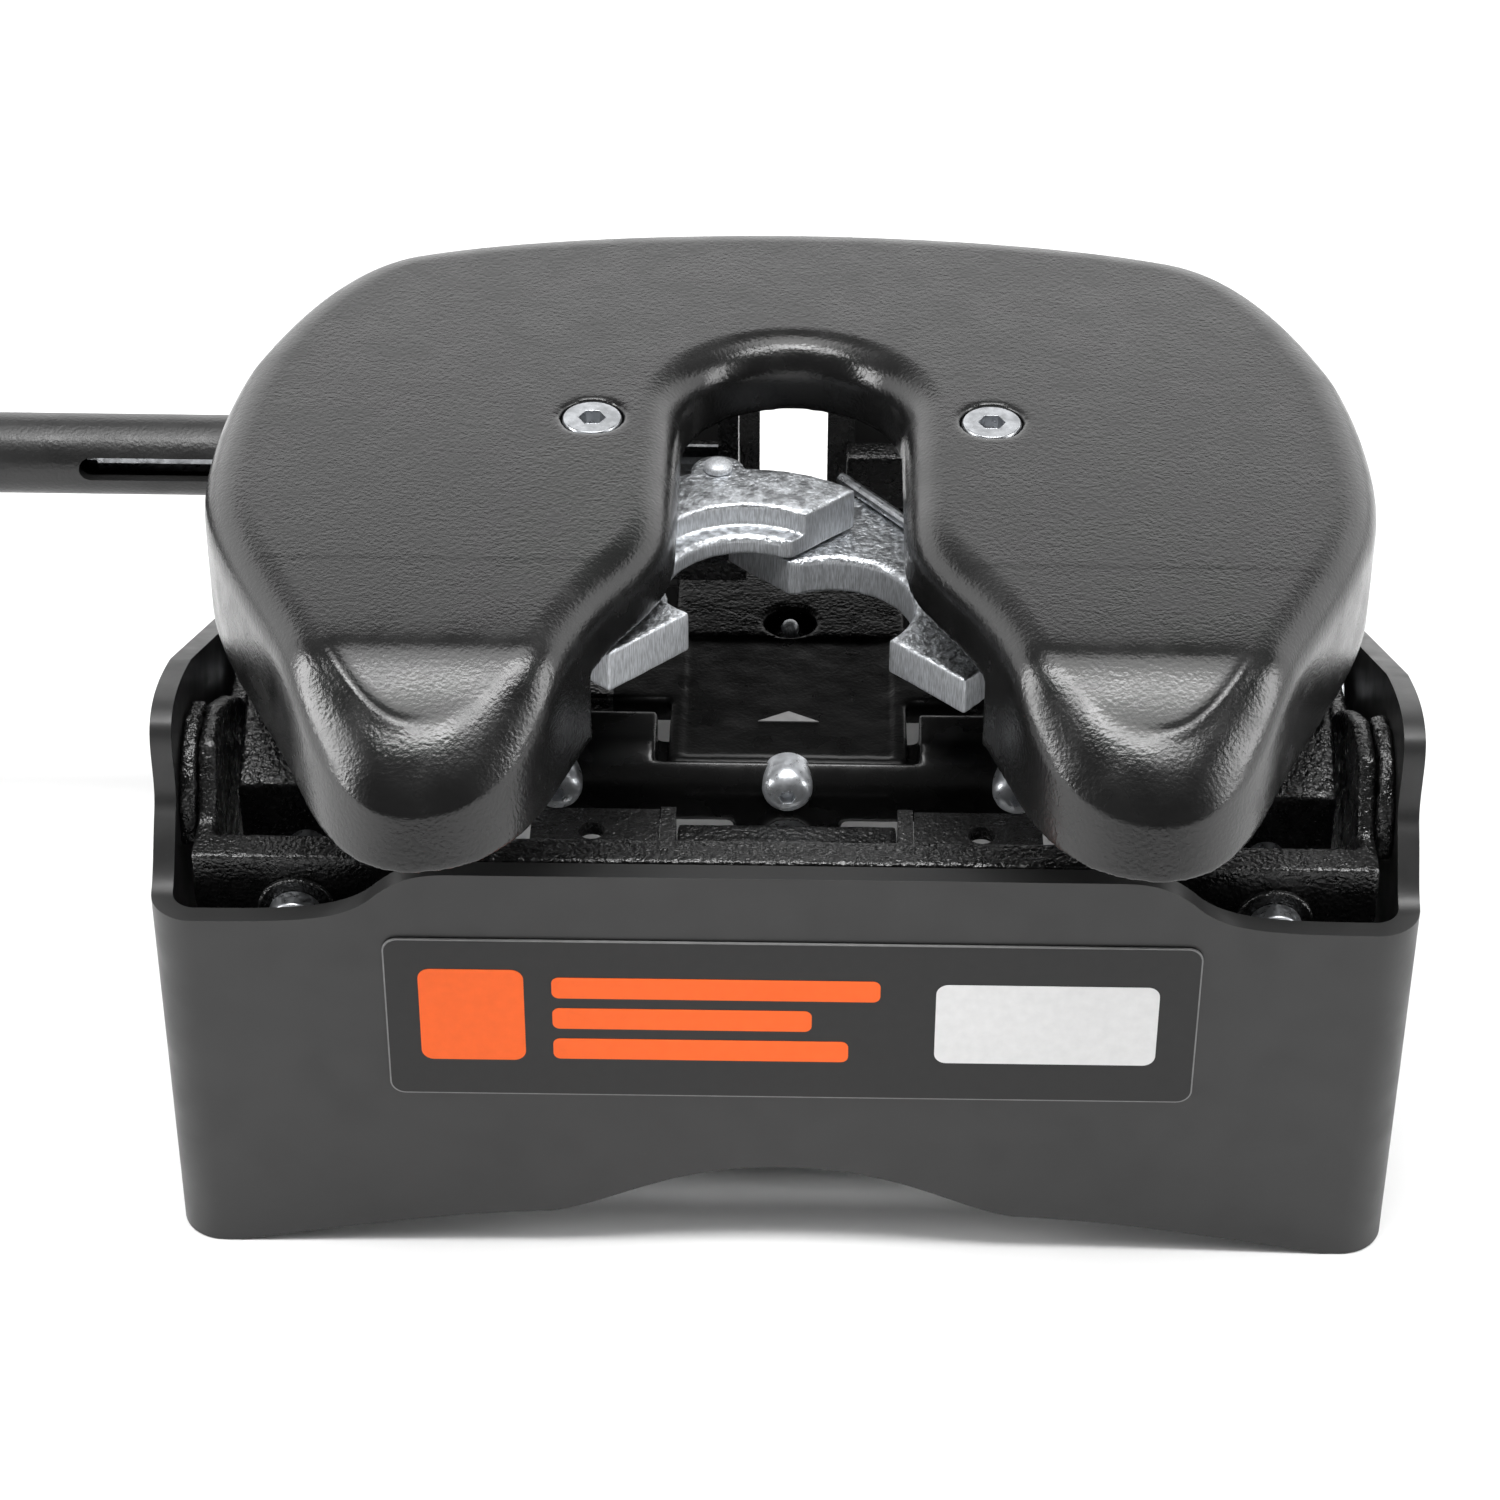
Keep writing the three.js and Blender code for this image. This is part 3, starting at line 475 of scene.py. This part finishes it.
def rounded_block(name, outline, low, high, radius, steps=8):
    """An outline run along Z with its top edge rounded over."""
    rings = [(0, low)]
    for i in range(steps + 1):
        t = math.pi / 2 * i / steps
        rings.append((radius * (1 - math.cos(t)), high - radius * (1 - math.sin(t))))
    n = len(outline)
    verts = []
    for amount, z in rings:
        verts += [(x, y, z) for x, y in inset(outline, amount)]
    faces = [tuple(range(n)), tuple((len(rings) - 1) * n + i for i in range(n))]
    for k in range(len(rings) - 1):
        for i in range(n):
            j = (i + 1) % n
            faces.append((k * n + i, k * n + j, (k + 1) * n + j, (k + 1) * n + i))
    return make(name, verts, faces)


def cavity_outline():
    """The hollow under the deck, inside its skirt."""
    half = [
        ((52, 122), (101, 115.5), (129, 105.5)),
        ((151, 97), (165, 66), (174.5, 36)),
        ((180, 14), (183, -24), (180, -44)),
        ((175, -70), (158, -98), (146, -127)),
        ((139, -143), (131, -172.5), (113, -172.5)),
        ((98, -172.5), (86, -160), (80, -142)),
        ((78, -134), (77, -124), (76, -112)),
    ]
    right = path((0, 122.5), *half)
    return right + [(-x, y) for x, y in reversed(right[1:])]


def smooth_step(value, low, high):
    """0 below low, 1 above high and an even S between."""
    t = min(max((value - low) / (high - low), 0), 1)
    return t * t * (3 - 2 * t)


def edge_distance(outline):
    """How far a point of the deck lies inside its outline, in mm."""
    tree = KDTree(len(outline))
    for i, (x, y) in enumerate(outline):
        tree.insert((x, y, 0), i)
    tree.balance()
    return lambda x, y: tree.find((x, y, 0))[2]


def shape_horns(body):
    """Slopes both horns down to their tips, leans their ends back and ridges their outer sides."""
    inside = edge_distance(deck_outline())
    for vertex in body.data.vertices:
        x, y, z = (vertex.co - ORIGIN) / MM
        past = RAMP_START - y
        if past < -HORN_REACH:
            continue
        drop = RAMP_SLOPE * (past + math.hypot(past, RAMP_SOFT)) / 2
        drop *= min(max(z - SKIRT_Z, 0) / WALL_RISE, 1)
        lean = HORN_LEAN * (z - drop - SKIRT_Z) / WALL_RISE
        lean += HORN_BACK * smooth_step(z, HORN_BACK_Z, DECK_TOP)
        ridge = 0
        if z > DECK_TOP - DECK_ROUND + 1:
            along = smooth_step(past, -6, 12) * smooth_step(abs(x), *RIDGE_X)
            ridge = RIDGE * along * math.exp(-((inside(x, y) - RIDGE_INSET) / RIDGE_WIDTH) ** 2)
        vertex.co.z += (ridge - drop) * MM
        vertex.co.y += lean * smooth_step(past, -5, HORN_REACH) * MM


def deck():
    """The horseshoe plate with its skirt, ramps, bolt holes and the notch for the handle."""
    body = rounded_block("deck", deck_outline(), SKIRT_Z, DECK_TOP, DECK_ROUND)
    hollow = prism("hollow", cavity_outline(), "Z", SKIRT_Z - 2, DECK_UNDER)
    cut(body, hollow)
    for _, side in SIDES:
        centre = (side * JAW_X, 0, 0)
        cut(body, rod("bolt_hole", centre, "Z", BOLT_R + 1.2, DECK_UNDER - 4, DECK_TOP + 2))
    cut(body, rod("handle_notch", (0, HANDLE_Y, HANDLE_Z), "X", TUBE_R + 2.5, -215, -140))
    soften(body, 1.25, 10)
    shape_horns(body)
    finish_piece(body, DECK, "head", "deck_powder", "deck_casting")


# ---- base ----
def wall_plan(face, seam):
    """A bent plate seen from above: its wall and both arms as far as the seam."""
    way = 1 if seam > face else -1

    def trace(half, y, r):
        corner = y + way * r
        return [(-half, seam), *arc(-half + r, corner, r, 180, 180 + way * 90, 12),
                *arc(half - r, corner, r, 180 + way * 90, 180 + way * 180, 12), (half, seam)]

    outside = trace(BASE_HALF, face, BEND_R)
    inside = trace(BASE_HALF - PLATE, face + way * PLATE, BEND_R - PLATE)
    return outside + inside[::-1]


def wall_profile():
    """Outline of a wall: high in the middle, with a dip at each end."""
    corner = BASE_HALF - BEND_R
    return path(
        (-corner, -1),
        (-corner, WALL_DIP),
        ((-155, WALL_DIP), (-140, WALL_DIP + 1), (-130, 150)),
        ((-123, 156), (-118, WALL_Z), (-106, WALL_Z)),
        (106, WALL_Z),
        ((118, WALL_Z), (123, 156), (130, 150)),
        ((140, WALL_DIP + 1), (155, WALL_DIP), (corner, WALL_DIP)),
        (corner, -1),
    )


def rear_arm():
    """Side of the rear plate: it rises to a shoulder and falls to the seam."""
    y = REAR_FACE
    return path(
        (y - 1, -1),
        (y - 1, WALL_DIP),
        (y + BEND_R - 3, WALL_DIP),
        ((y + 20, WALL_DIP), (y + 24, 149), (y + 34, 158)),
        ((y + 41, 166), (y + 32, 184), (y + 43, 188)),
        ((y + 52, 192), (y + 70, 186), (y + 86, 180)),
        (SEAM_Y, 131),
        (SEAM_Y, -1),
    )


def front_arm():
    """Side of the front plate, lower than the rear one."""
    y = SEAM_Y
    return path(
        (y, -1),
        (y, 131),
        (y + 40, 137),
        ((y + 58, 140), (y + 66, 152), (y + 84, 151)),
        ((y + 98, 150), (FRONT_FACE - 24, WALL_DIP), (FRONT_FACE - BEND_R + 3, WALL_DIP)),
        (FRONT_FACE + 1, WALL_DIP),
        (FRONT_FACE + 1, -1),
    )


def relief(low, high):
    """The arch along the rear wall's bottom edge."""
    outline = path(
        (-188, -3),
        (188, -3),
        (188, -1),
        ((150, 6), (110, 14), (78, 15)),
        ((58, 18), (40, 36), (0, 36)),
        ((-40, 36), (-58, 18), (-78, 15)),
        ((-110, 14), (-150, 6), (-188, -1)),
    )
    return prism("relief", outline, "Y", low, high)


def window():
    """The slot in the top of the front wall, between the ribs."""
    depth = (FRONT_FACE - 20, FRONT_FACE + 2)
    return cuboid("window", (-WINDOW_HALF, WINDOW_HALF), depth, (WINDOW_Z, WALL_Z + 5))


def housing(name, face, seam, arm, node):
    """One bent plate: its plan run upwards and trimmed to its wall and arm outlines."""
    way = 1 if seam > face else -1
    body = prism(name, wall_plan(face, seam), "Z", 0, ARM_TOP)
    low, high = sorted((face - way, face + way * BEND_R))
    corner = BASE_HALF - BEND_R
    keep = prism("keep", arm, "X", -BASE_HALF - 1, -corner)
    join(keep, prism("arm", arm, "X", corner, BASE_HALF + 1))
    join(keep, prism("wall", wall_profile(), "Y", low, high))
    common(body, keep)
    cut(body, relief(low, high) if face == REAR_FACE else window())
    edge(body, 0.9, 3)
    finish_piece(body, HOUSING, "base", "housing_powder", node)


# ---- cast pieces that keep the CAD solid and get a cast surface ----
# node, body, voxel size in mm, smoothing passes, depth of the lumps in mm
CAST = [
    ("yoke_frame", "base", 1.4, 4, 0.5),
    ("yoke_weld_left", "base", 0.8, 5, 1.6),
    ("yoke_weld_right", "base", 0.8, 5, 1.6),
    ("trunnion_block_left", "rocker", 1.3, 5, 0.5),
    ("trunnion_block_right", "rocker", 1.3, 5, 0.5),
    ("head_saddle", "head", 1.2, 4, 0.35),
]


def castings():
    """The cast nodes with a rounded, uneven surface, a shallow basin in the tray and painted shade on
    the tray's coat.
    """
    for node, body, voxel, passes, lumps in CAST:
        piece = copy_of(node, node + "_cast")
        if node == "head_saddle":
            cut(piece, cuboid("basin", (-TRAY_HALF, TRAY_HALF), (-54, TRAY_STEP), (TRAY_FLOOR, 150)))
        soften(piece, voxel, passes)
        roughen(piece, 7, lumps)
        finish_piece(piece, CASTING, body, "black_casting", node)
        if node == "head_saddle":
            coat_tray_in_shade(piece)


def coat_tray_in_shade(piece):
    """Duller, darker coats on the tray, painted shade under the deck and jaws: smooth in front of its
    step, wrinkled behind it.
    """
    piece.data.materials.append(TRAY_FRONT_SHADED)
    piece.data.materials.append(TRAY_REAR_SHADED)
    # tray faces low in the middle get the darker, duller coats: painted shade
    for face in piece.data.polygons:
        x, y, z = (face.center - ORIGIN) / MM
        if abs(x) < 60 and y < 75 and z < TRAY_SHADE_TOP:
            face.material_index = 1 if y < TRAY_STEP else 2


def beams():
    """Cross beams with their upper outer edges rounded over."""
    beam_front = 2 * PIVOT_Y - BEAM_REAR
    for node, outer, way in (("rear_cross_beam", BEAM_REAR, -1), ("front_cross_beam", beam_front, 1)):
        piece = copy_of(node, node + "_coated")
        middle = outer - way * BEAM_ROUND
        round_over = arc(middle, BEAM_TOP - BEAM_ROUND, BEAM_ROUND, 90 - way * 90, 90, 16)
        outline = [(outer, 60), *round_over, (outer - way * 60, BEAM_TOP), (outer - way * 60, 60)]
        common(piece, prism("round_over", outline, "X", -160, 160))
        soften(piece, 1.1, 5)
        finish_piece(piece, GLOSS, "rocker", "deck_powder", node)


# ---- jaws ----
def turned_open(points, side):
    """Points drawn on the locked left jaw, turned open and put on the given side."""
    turn = math.radians(-JAW_OPEN)
    moved = []
    for x, y in points:
        dx, dy = x + JAW_X, y
        px = dx * math.cos(turn) - dy * math.sin(turn) - JAW_X
        py = dx * math.sin(turn) + dy * math.cos(turn)
        moved.append((-side * px, py))
    return moved


def pin_centre(side):
    """Where a jaw's link pin stands with the jaws open."""
    angle = math.radians(PIN_OPEN_ANGLE)
    return (side * (JAW_X - PIN_REACH * math.cos(angle)), PIN_REACH * math.sin(angle))


def chamfer(piece, centre, r, top, width):
    """Chamfer round the top edge of a bore."""
    cone = [(r - 0.2, top - width - 0.2), (r + width + 0.6, top + 0.6)]
    cut(piece, lathe("chamfer", centre, "Z", cone, 96))


def jaw_outline(tail_reach, tail_r):
    """The locked left jaw from above: nose, bore, tail and back."""
    tail = -math.degrees(math.acos(tail_reach / BORE_R))
    tail_outer = -math.degrees(math.acos(tail_reach / tail_r))
    outline = [(-6.6, KINGPIN_Y + 55.9), (-6.9, KINGPIN_Y + 25.6)]
    outline += arc(0, KINGPIN_Y, BORE_R, 105, tail + 360, 64)
    outline += arc(0, KINGPIN_Y, tail_r, tail_outer + 360, 205, 32)
    outline += arc(0, KINGPIN_Y, JAW_OUTER_R, 165, 97, 24)
    return outline


def stepped(piece, bore, low, high):
    """Ledge round the left jaw's bore, with none under its tail."""
    cut(piece, rod("step", bore, "Z", STEP_R, high - STEP_DEPTH, high + 1, 96))
    chamfer(piece, bore, STEP_R, high, 0.9)
    under_tail = rod("tail_relief", bore, "Z", STEP_R, low - 1, high + 1, 96)
    cut(piece, common(under_tail, cuboid("tail_side", (-80, 0), (-120, -50), (low - 2, high + 2))))


def jaw(name, side, heights, tail, body, node):
    """A cast jaw with machined sides, shown open; the sides' partly diffuse coat is painted light."""
    low, high = heights
    piece = prism(name, turned_open(jaw_outline(*tail), side), "Z", low, high)
    px, py = pin_centre(side)
    join(piece, rod("eye", (side * JAW_X, 0, 0), "Z", 24, low, high, 64))
    join(piece, rod("boss", (px, py, 0), "Z", 9, low, high))
    cut(piece, rod("pivot_hole", (side * JAW_X, 0, 0), "Z", BOLT_R + 0.3, low - 1, high + 1))
    bore = (*turned_open([(0, KINGPIN_Y)], side)[0], 0)
    if side < 0:
        stepped(piece, bore, low, high)
    chamfer(piece, bore, BORE_R, high - STEP_DEPTH if side < 0 else high, 1.5)
    cut(piece, cuboid("nose", (-8, 8), (-30, NOSE_Y), (low - 1, high + 1)))
    soften(piece, 0.7, 3)
    roughen(piece, 4, 0.18)
    finish_piece(piece, JAW, body, "zinc_plate", node)
    # side faces get the machined coat, which carries painted light
    piece.data.materials.append(MACHINED_LIT)
    for face in piece.data.polygons:
        face.material_index = 1 if abs(face.normal.z) < 0.5 else 0


def torsion_spring(name, side, low, high, body, node):
    """A wound spring round the jaw pivot."""
    wire, mean, turns, steps = 1.7, 15.4, 4, 160
    curve = bpy.data.curves.new(name, "CURVE")
    curve.dimensions = "3D"
    curve.bevel_depth = wire * MM
    curve.bevel_resolution = 4
    curve.use_fill_caps = True
    spline = curve.splines.new("POLY")
    spline.points.add(steps)
    for i in range(steps + 1):
        t = 2 * math.pi * turns * i / steps
        z = low + wire + (high - low - 2 * wire) * i / steps
        spline.points[i].co = (*at(side * JAW_X + mean * math.cos(t), mean * math.sin(t), z), 1)
    piece = bpy.data.objects.new(name, curve)
    bpy.context.scene.collection.objects.link(piece)
    finish_piece(piece, BRIGHT, body, "zinc_plate", node)


def link_pin():
    """The left jaw's pin, with the domed head that shows on the jaw."""
    x, y = pin_centre(-1)
    shank = [(3.6, 177), (4, 177.6), (4, 216.2)]
    dome = [(4.9, 216.3), (4.9, 217), (4.5, 218.1), (3.5, 218.9), (1.6, 219.4)]
    pin = lathe("left_pin_turned", (x, y, 0), "Z", shank + dome)
    finish_piece(edge(pin, 0.2), MACHINED_LIT, "left_jaw", "zinc_plate", "left_link_pin")


def jaw_parts():
    jaw("left_jaw_cast", -1, LEFT_JAW_Z, (9, 68), "left_jaw", "left_jaw")
    jaw("right_jaw_cast", 1, RIGHT_JAW_Z, (1.5, 60), "right_jaw", "right_jaw")
    torsion_spring("left_spring_wire", -1, *RIGHT_JAW_Z, "left_jaw", "left_jaw_spring")
    torsion_spring("right_spring_wire", 1, LEFT_JAW_Z[0], 219, "right_jaw", "right_jaw_spring")
    link_pin()


# ---- fasteners ----
def hex_rod(name, centre, axis, r, low, high):
    return rod(name, centre, axis, r, low, high, 6)


def beam_bolts():
    for name, x in (("left", -BEAM_BOLT_X), ("middle", 0), ("right", BEAM_BOLT_X)):
        centre = (x, BEAM_REAR, BEAM_BOLT_Z)
        profile = [(8, 8), (8.4, -0.3), (8.4, -1.4), (7.9, -3.2), (6.8, -4.8), (5.0, -5.9), (2.8, -6.5)]
        bolt = lathe(f"beam_bolt_{name}_turned", centre, "Y", profile)
        cut(bolt, hex_rod("socket", centre, "Y", 2.9, -7, -3.6))
        finish_piece(edge(bolt, 0.3), DOME, "rocker", "zinc_plate", f"beam_bolt_{name}")


def pivot_bolts():
    for name, side in SIDES:
        centre = (side * JAW_X, 0, 0)
        top = DECK_TOP - 0.5
        profile = [(8.6, 156), (BOLT_R, 156.8), (BOLT_R, top - 6), (BOLT_R + 0.8, top - 5),
                   (BOLT_R + 0.8, top - 0.9), (BOLT_R + 0.2, top)]
        bolt = lathe(f"jaw_pivot_bolt_{name}_turned", centre, "Z", profile)
        cut(bolt, hex_rod("socket", centre, "Z", 4.6, top - 5, top + 2))
        finish_piece(edge(bolt, 0.25), BRIGHT, "head", "zinc_plate", f"jaw_pivot_bolt_{name}")


def clamp_bolts():
    for where in ("rear", "front"):
        for name, _ in SIDES:
            node = f"clamp_washer_{where}_{name}"
            low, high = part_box(node)
            centre = tuple(((low + high) / 2 - ORIGIN) / MM)
            half = (high.y - low.y) / MM / 2
            rim = [(12.5, -half + 0.5), (12.5, half - 0.5)]
            profile = [(6.8, -half), (11.9, -half), *rim, (11.9, half), (6.8, half)]
            washer = lathe(node + "_turned", centre, "Y", profile)
            cut(washer, rod("hole", centre, "Y", 6.8, -half - 1, half + 1))
            finish_piece(edge(washer, 0.2), CASTING, "base", "black_casting", node)
            clamp_bolt(where, name, centre, half)


def clamp_bolt(where, name, centre, half):
    """Round bolt end with a chamfer on the washer, shank through the rail and a hex nut inside."""
    way = -1 if where == "rear" else 1
    head = [(0.4, half + 8.4), (7.2, half + 8.4), (8.7, half + 6.9), (8.7, half + 0.2)]
    shank = [(6.5, half + 0.2), (6.5, -34)]
    profile = [(r, way * d) for r, d in head + shank]
    bolt = lathe(f"clamp_bolt_{where}_{name}_turned", centre, "Y", profile)
    rear, front = sorted((way * -14.3, way * -23))
    join(bolt, hex_rod("nut", centre, "Y", 11, rear, front))
    finish_piece(edge(bolt, 0.5), BRIGHT, "base", "zinc_plate", f"clamp_bolt_{where}_{name}")


def grease_fitting():
    collar = [(3.6, 136.4), (3.6, 139), (2.4, 139.6), (2.4, 140.8)]
    ball = [(3.2, 142.2), (3.2, 143.4), (2.2, 145.2), (1.0, 145.9)]
    piece = lathe("grease_nipple", (0, GREASE_Y, 0), "Z", collar + ball)
    finish_piece(edge(piece, 0.15), MACHINED_LIT, "head", "zinc_plate", "grease_fitting")


# ---- handle ----
def handle():
    """The pull tube, bored from its inner end, with a slot that shows the guide rod."""
    outer, inner = -400, -90
    centre = (0, HANDLE_Y, HANDLE_Z)
    profile = [(13.4, outer), (TUBE_R, outer + 0.9), (TUBE_R, inner - 0.9), (13.4, inner)]
    tube = lathe("pull_tube", centre, "X", profile, 96)
    cut(tube, rod("bore", centre, "X", 10.5, outer + 20, inner + 1, 64))
    z = HANDLE_Z + 2
    slot = [*arc(-246, z, 4.2, 90, 270, 16), (-120, z - 4.2), (-120, z + 4.2)]
    cut(tube, prism("slot", slot, "Y", HANDLE_Y - 20, HANDLE_Y - 4))
    finish_piece(edge(tube, 0.4), HANDLE, "handle", "handle_powder", "handle_tube")


def grip():
    """Ribbed rubber sleeve with a closed, rounded outer end."""
    outer, length, ribs = -404, 116, 22
    profile = [(0.5, 0), (11, 0), (15.5, 1.2), (17.4, 4)]
    for i in range(ribs):
        start = 8 + i * 4.6
        profile += [(17.4, start), (16.4, start + 0.9), (16.4, start + 2.1), (17.4, start + 3.0)]
    profile += [(17.8, length - 5), (17.4, length - 1), (14.9, length)]
    centre = (outer, HANDLE_Y, HANDLE_Z)
    piece = lathe("ribbed_grip", centre, "X", profile, 64)
    cut(piece, rod("bore", centre, "X", 14.55, 4, length + 1, 64))
    finish_piece(edge(piece, 0.3), RUBBER, "handle", "grip_rubber", "handle_grip")


# ---- name plate: plain bars and panels, no lettering ----
def rounded_rect(x0, x1, z0, z1, r):
    return [*arc(x1 - r, z0 + r, r, -90, 0, 8), *arc(x1 - r, z1 - r, r, 0, 90, 8),
            *arc(x0 + r, z1 - r, r, 90, 180, 8), *arc(x0 + r, z0 + r, r, 180, 270, 8)]


def film(name, rect, r, proud, material, *nodes):
    """A thin printed panel on the rear wall, proud of the plate by so many mm."""
    x0, x1, z0, z1 = rect
    piece = prism(name, rounded_rect(x0, x1, z0, z1, r), "Y", REAR_FACE - proud, REAR_FACE - 0.3)
    finish_piece(piece, material, "base", "label_film", *nodes)


def name_plate():
    x0, x1, z0, z1 = -129, 134, 68, 133
    film("label_rim", (x0, x1, z0, z1), 5, 1.0, RIM, "name_plate")
    film("label_ground", (x0 + 0.5, x1 - 0.5, z0 + 0.5, z1 - 0.5), 4.6, 1.1, FILM)
    film("label_block", (x0 + 11, x0 + 45, z0 + 15, z1 - 12), 4, 1.25, ORANGE)
    for i, length in enumerate((106, 84, 96)):
        z = z1 - 15 - i * 12.8
        film(f"label_bar_{i + 1}", (x0 + 54, x0 + 54 + length, z - 8.6, z), 2.4, 1.25, ORANGE)
    film("label_panel", (x1 - 85, x1 - 13, z0 + 16, z1 - 16), 4, 1.25, WHITE)


def tray_arrow():
    """Plain arrow that points at the grease fitting."""
    outline = [(-10.3, -33), (10.3, -33), (0, -27.3)]
    piece = prism("tray_arrow", outline, "Z", TRAY_FLOOR + 0.1, TRAY_FLOOR + 0.5)
    finish_piece(piece, ARROW, "head", "label_film")


# ---- CAD pieces that keep their own shape ----
CARRIED = [
    (CASTING, ["rail_tab_left", "rail_tab_right", "rail_web_left", "rail_web_right"]),
    (CASTING, ["front_rib_left", "front_rib_right", "lock_rail_left", "lock_rail_right"]),
    (CASTING, ["rod_bracket", "lock_yoke", "cam_plate"]),
    (BRIGHT, ["roll_shaft", "guide_rod", "follower_pin", "right_link_pin", "jaw_wire"]),
    (BRIGHT, ["trunnion_pin_left", "trunnion_pin_right", "jaw_pivot_nut_left", "jaw_pivot_nut_right"]),
    (BRIGHT, ["left_lower_spacer", "left_upper_spacer", "right_lower_spacer", "right_upper_spacer"]),
    (POLYMER, ["roll_bush", "trunnion_bush_left", "trunnion_bush_right"]),
]


def carried_over():
    """Gives the nodes above their material and a small edge."""
    for material, nodes in CARRIED:
        for node in nodes:
            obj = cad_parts[node]
            obj.data.materials.clear()
            obj.data.materials.append(material)
            edge(obj, 0.5)


# ---- stage ----
CAMERA_PLACE = (5.24, -1131.5, 946.87)
CAMERA_DOWN = 36.53
CAMERA_TURN = -0.24
CAMERA_ROLL = -0.59
LENS = 96.52
CAMERA_SHIFT = -0.0267
FLOOR_HALF = 4000
WORLD_STRENGTH = 6.0


def camera():
    """The view from the trailer's side, looking down on the hitch."""
    down, turn, roll = (math.radians(a) for a in (CAMERA_DOWN, CAMERA_TURN, CAMERA_ROLL))
    level = Vector((math.cos(turn), -math.sin(turn), 0))
    ahead = Vector((math.sin(turn), math.cos(turn), 0))
    forward = ahead * math.cos(down) - Vector((0, 0, math.sin(down)))
    below = forward.cross(level)
    right = level * math.cos(roll) + below * math.sin(roll)
    up = level * math.sin(roll) - below * math.cos(roll)
    data = bpy.data.cameras.new("view")
    data.lens = LENS
    data.sensor_width = 36
    data.shift_x = CAMERA_SHIFT
    data.clip_end = 20
    obj = bpy.data.objects.new("view", data)
    bpy.context.scene.collection.objects.link(obj)
    basis = Matrix((right, up, -forward)).transposed().to_4x4()
    basis.translation = at(*CAMERA_PLACE)
    obj.matrix_world = basis
    bpy.context.scene.camera = obj


def lamp(name, place, target, size, watts):
    data = bpy.data.lights.new(name, "AREA")
    data.shape = "RECTANGLE"
    data.size, data.size_y = size
    data.energy = watts
    obj = bpy.data.objects.new(name, data)
    bpy.context.scene.collection.objects.link(obj)
    obj.location = place
    obj.rotation_euler = (Vector(target) - Vector(place)).to_track_quat("-Z", "Y").to_euler()


def surroundings():
    """White wall behind, a dark gap above it, a bright ceiling, and a dim room in front."""
    world = bpy.data.worlds.new("studio")
    world.use_nodes = True
    nodes, links = world.node_tree.nodes, world.node_tree.links
    split = nodes.new("ShaderNodeSeparateXYZ")
    links.new(nodes.new("ShaderNodeTexCoord").outputs["Generated"], split.inputs["Vector"])

    def bands(axis, *stops):
        ramp = nodes.new("ShaderNodeValToRGB")
        elements = ramp.color_ramp.elements
        while len(elements) < len(stops):
            elements.new(0.5)
        for element, (position, grey) in zip(elements, stops):
            element.position = position
            element.color = (grey, grey, grey, 1)
        links.new(split.outputs[axis], ramp.inputs["Fac"])
        return ramp.outputs["Color"]

    behind = bands("Z", (0, 0.32), (0.56, 0.35), (0.59, 0.02), (0.90, 0.05), (0.95, 0.70))
    in_front = bands("Z", (0, 0.02), (0.3, 0.015), (0.955, 0.02), (0.985, 0.85))
    mix = nodes.new("ShaderNodeMix")
    mix.data_type = "RGBA"
    links.new(bands("Y", (0.0, 0.0), (0.12, 1.0)), mix.inputs["Factor"])
    links.new(in_front, mix.inputs["A"])
    links.new(behind, mix.inputs["B"])
    links.new(mix.outputs["Result"], nodes["Background"].inputs["Color"])
    nodes["Background"].inputs["Strength"].default_value = WORLD_STRENGTH
    bpy.context.scene.world = world


def studio():
    half = FLOOR_HALF
    corners = [(-half, -half), (half, -half), (half, half), (-half, half)]
    floor = make("floor", [(x, y, -0.4) for x, y in corners], [(0, 1, 2, 3)])
    floor.data.materials.append(matte("pale_floor", (0.80,) * 3, (0.84,) * 3, 0.8, 30, 0.01))
    surroundings()
    bpy.context.scene.view_settings.view_transform = "Standard"
    lamp("strip", (0.1, -0.45, 2.1), (0.1, -0.15, 0.22), (2.0, 0.35), 40)
    lamp("left", (-1.9, -0.4, 0.9), (0.1, 0, 0.15), (0.6, 1.4), 36)
    lamp("right", (2.1, -0.4, 0.9), (0.1, 0, 0.15), (0.6, 1.4), 26)


deck()
housing("rear_plate", REAR_FACE, SEAM_Y, rear_arm(), "rear_housing_plate")
housing("front_plate", FRONT_FACE, SEAM_Y + 0.3, front_arm(), "front_housing_plate")
castings()
beams()
jaw_parts()
beam_bolts()
pivot_bolts()
clamp_bolts()
grease_fitting()
handle()
grip()
name_plate()
tray_arrow()
carried_over()
camera()
studio()
